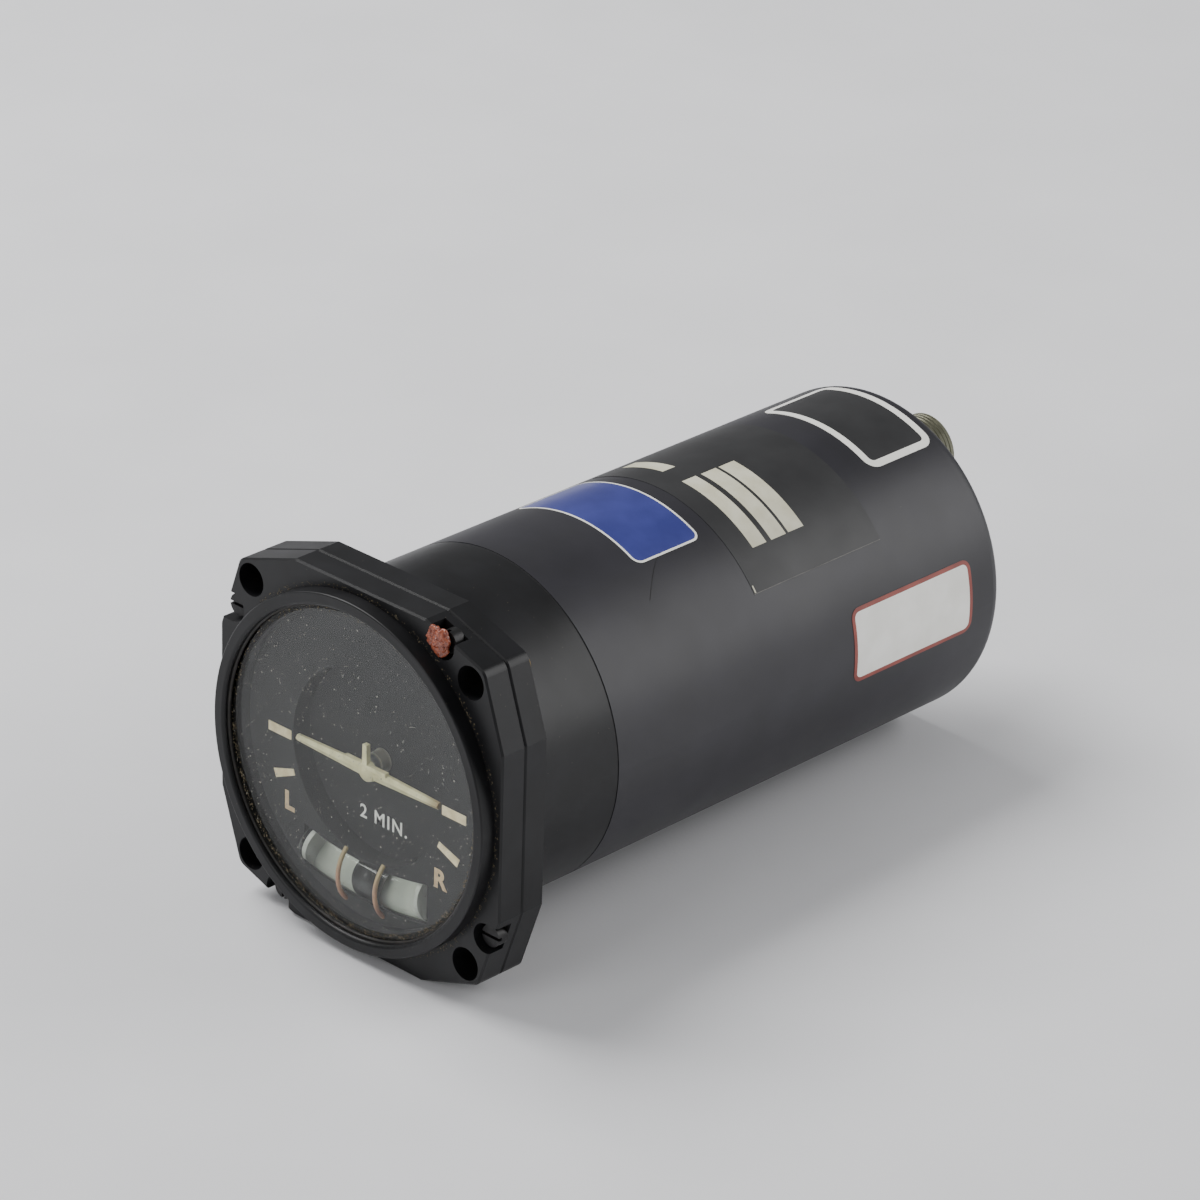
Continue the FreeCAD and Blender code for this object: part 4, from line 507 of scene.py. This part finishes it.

# A grey hairline just below the name plate's lower edge.
plate_grey = coated("worn_foil_edge", "#6f6d68", "#4b4a47", 4, 0.5, 0.06, 0.3, 0.003)
label("plate_edge", 36.7, 36.95, 84.5, 123.7, 0, [], [plate_grey], 0.09)

# %% [markdown]
# ## Scratch on the can
#
# A hair-thin scratch runs from the corner of the blue label down the can. It is a near-black flat
# strip, the painted shadow inside the scratch, that follows the can's curve: at each step four
# points go round a cross-section, and faces join them.
# Its two ends are given as an angle round the can and a distance from the front.

# %% Scratch
# The strip's near-black colour is painted shadow, the shade inside the scratch.
scratch_painted_shadow = coated("scratch_shadow", "#121212", "#0d0d0d", 1, 0.6, 0.05, 0.2, 0.001)
shape = bmesh.new()
rows = []
SCRATCH_STEPS = 24
FIRST_ANGLE, FIRST_Y = 61.8, 68.45
LAST_ANGLE, LAST_Y = 48.5, 58.35
for step in range(SCRATCH_STEPS + 1):
    share = step / SCRATCH_STEPS
    angle = math.radians(FIRST_ANGLE + (LAST_ANGLE - FIRST_ANGLE) * share ** 1.3)
    across = FIRST_Y + (LAST_Y - FIRST_Y) * share
    half = 0.35 if step == 0 else 0.1 - 0.03 * share
    row = []
    for side, height in ((-1, 0.0), (1, 0.0), (1, 0.1), (-1, 0.1)):
        radius = CAN_RADIUS + 0.01 + height * (1 if step == 0 else 0.4)
        row.append(shape.verts.new(Vector((
            radius * math.cos(angle), across + side * half, radius * math.sin(angle))) * MM))
    rows.append(row)
for row, after in zip(rows, rows[1:]):
    for corner in range(4):
        nxt = (corner + 1) % 4
        shape.faces.new((row[corner], row[nxt], after[nxt], after[corner]))
shape.faces.new(rows[0])
shape.faces.new(rows[-1])
piece("can_scratch", shape, [scratch_painted_shadow], "case")

# %% [markdown]
# ## Filled inclinometer tube
#
# The curved tube is full of liquid, so it works as a lens that stretches the ball to its full
# height. A copy of the CAD tube shows that: its outer skin bends light as glass does, and its inner
# skin doesn't bend it at all, as if glass and liquid were one. Rings of points run along the
# outside and back along the inside, and neighbouring rings are skinned with faces. The faces
# between two inner rings take the second finish.

# %% Tube
BEND = 76.3
TUBE_HALF = 17.7
TUBE_WALL = 0.3
TUBE_STEPS = 60
tube_low, tube_high = (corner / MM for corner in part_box("inclinometer_tube"))
TUBE_PLANE = (tube_low.y + tube_high.y) / 2
TUBE_RADIUS = (tube_high.y - tube_low.y) / 2
BEND_CENTRE = tube_low.z + TUBE_RADIUS + BEND
TUBE_ANGLE = math.asin(TUBE_HALF / BEND)


def tube_ring(shape, radius, along, count=96):
    """Ring of points round the tube's centre line, at an angle along its bend."""
    made = []
    for step in range(count):
        turn_angle = step * 2 * math.pi / count
        reach = BEND + radius * math.cos(turn_angle)
        made.append(shape.verts.new(Vector((
            reach * math.sin(along), TUBE_PLANE + radius * math.sin(turn_angle),
            BEND_CENTRE - reach * math.cos(along))) * MM))
    return made


shape = bmesh.new()
places = [TUBE_ANGLE * (2 * k / TUBE_STEPS - 1) for k in range(TUBE_STEPS + 1)]
rings = [tube_ring(shape, TUBE_RADIUS, along) for along in places]
rings += [tube_ring(shape, TUBE_RADIUS - TUBE_WALL, along) for along in reversed(places)]
for number, ring in enumerate(rings):
    after = rings[(number + 1) % len(rings)]
    for step in range(len(ring)):
        here, there = step, (step + 1) % len(ring)
        face = shape.faces.new((ring[here], ring[there], after[there], after[here]))
        face.material_index = 1 if len(places) <= number < len(rings) - 1 else 0
tube = piece("filled_tube", shape, [tube_glass, tube_inside], "case")
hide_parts("inclinometer_tube")

# %% [markdown]
# ## Sealing lacquer
#
# A dab of red-brown lacquer seals one case screw. It was laid on thick and has wrinkled, so two
# lumpy spheres stand in for it. Their points move in and out with noise patterns of about 1 and
# 0.4 mm, and none rises above the front's upper edge.

# %% Lacquer
LACQUER_TOP = 40.5
shape = bmesh.new()
for place, half in (((20.9, 0.2, 37.9), (1.3, 1.2, 2.4)), ((23.0, 0.1, 37.1), (2.1, 1.4, 2.9))):
    lump = bmesh.ops.create_icosphere(shape, subdivisions=5, radius=1.0)["verts"]
    for vert in lump:
        outward = vert.co.copy()
        point = Vector(place) + Vector([outward[k] * half[k] for k in range(3)])
        swell = noise.noise(point * 0.9) * 0.45 + noise.noise(point * 2.6) * 0.22
        point += outward * swell
        point.z = min(point.z, LACQUER_TOP)
        vert.co = point * MM
blob = piece("lacquer_dab", shape, [lacquer], "case")
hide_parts("seal_lacquer")

# %% [markdown]
# ## Dust
#
# Dust shows most where nobody wipes: on the glass, against the retaining wire and behind the rim.
# Each speck is a tiny flat box, and one in 23 is drawn out into a fibre. The seed keeps them in
# place, so every run scatters the same dust.

# %% Dust
dust_pale = coated("pale_dust", "#b0ada1", "#86837a", 0.8, 0.9, 0.05, 0.1, 0.01)
dust_brown = coated("brown_dust", "#857a63", "#655b47", 0.8, 0.9, 0.05, 0.1, 0.01)
FLAKE = 0.03
FIBRE_EVERY = 23
FIBRE_WIDTH = 0.05
chance = random.Random(11)


def specks(name, count, near, far, front, smallest, largest, finish, share_low=0.0):
    """Flakes scattered over a ring of the front; share_low of them only on its lower half."""
    shape = bmesh.new()
    for number in range(count):
        reach = math.sqrt(chance.uniform(near ** 2, far ** 2))
        angle = chance.uniform(0, 2 * math.pi)
        if number < count * share_low:
            angle = chance.uniform(math.pi, 2 * math.pi)
        length = smallest * (largest / smallest) ** (chance.random() ** 2)
        width = length * chance.uniform(0.35, 0.9)
        if number % FIBRE_EVERY == 5:
            length, width = length * 5, FIBRE_WIDTH
        flake = bmesh.ops.create_cube(shape, size=1.0)["verts"]
        spin = Matrix.Rotation(chance.uniform(0, math.pi), 3, "Y")
        for vert in flake:
            vert.co = spin @ Vector((vert.co.x * length, vert.co.y * FLAKE, vert.co.z * width))
            vert.co += Vector((reach * math.cos(angle), front - 0.02, reach * math.sin(angle)))
            vert.co *= MM
    return piece(name, shape, [finish], "case", smooth=False)


GLASS_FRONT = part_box("front_glass")[0].y / MM
specks("glass_dust", 900, 0, 35.2, GLASS_FRONT, 0.13, 0.34, dust_pale)
specks("edge_dust", 900, 34.3, 35.5, GLASS_FRONT, 0.14, 0.4, dust_brown, 0.5)
specks("rim_dust", 600, 38.9, 39.9, 0, 0.12, 0.35, dust_brown)
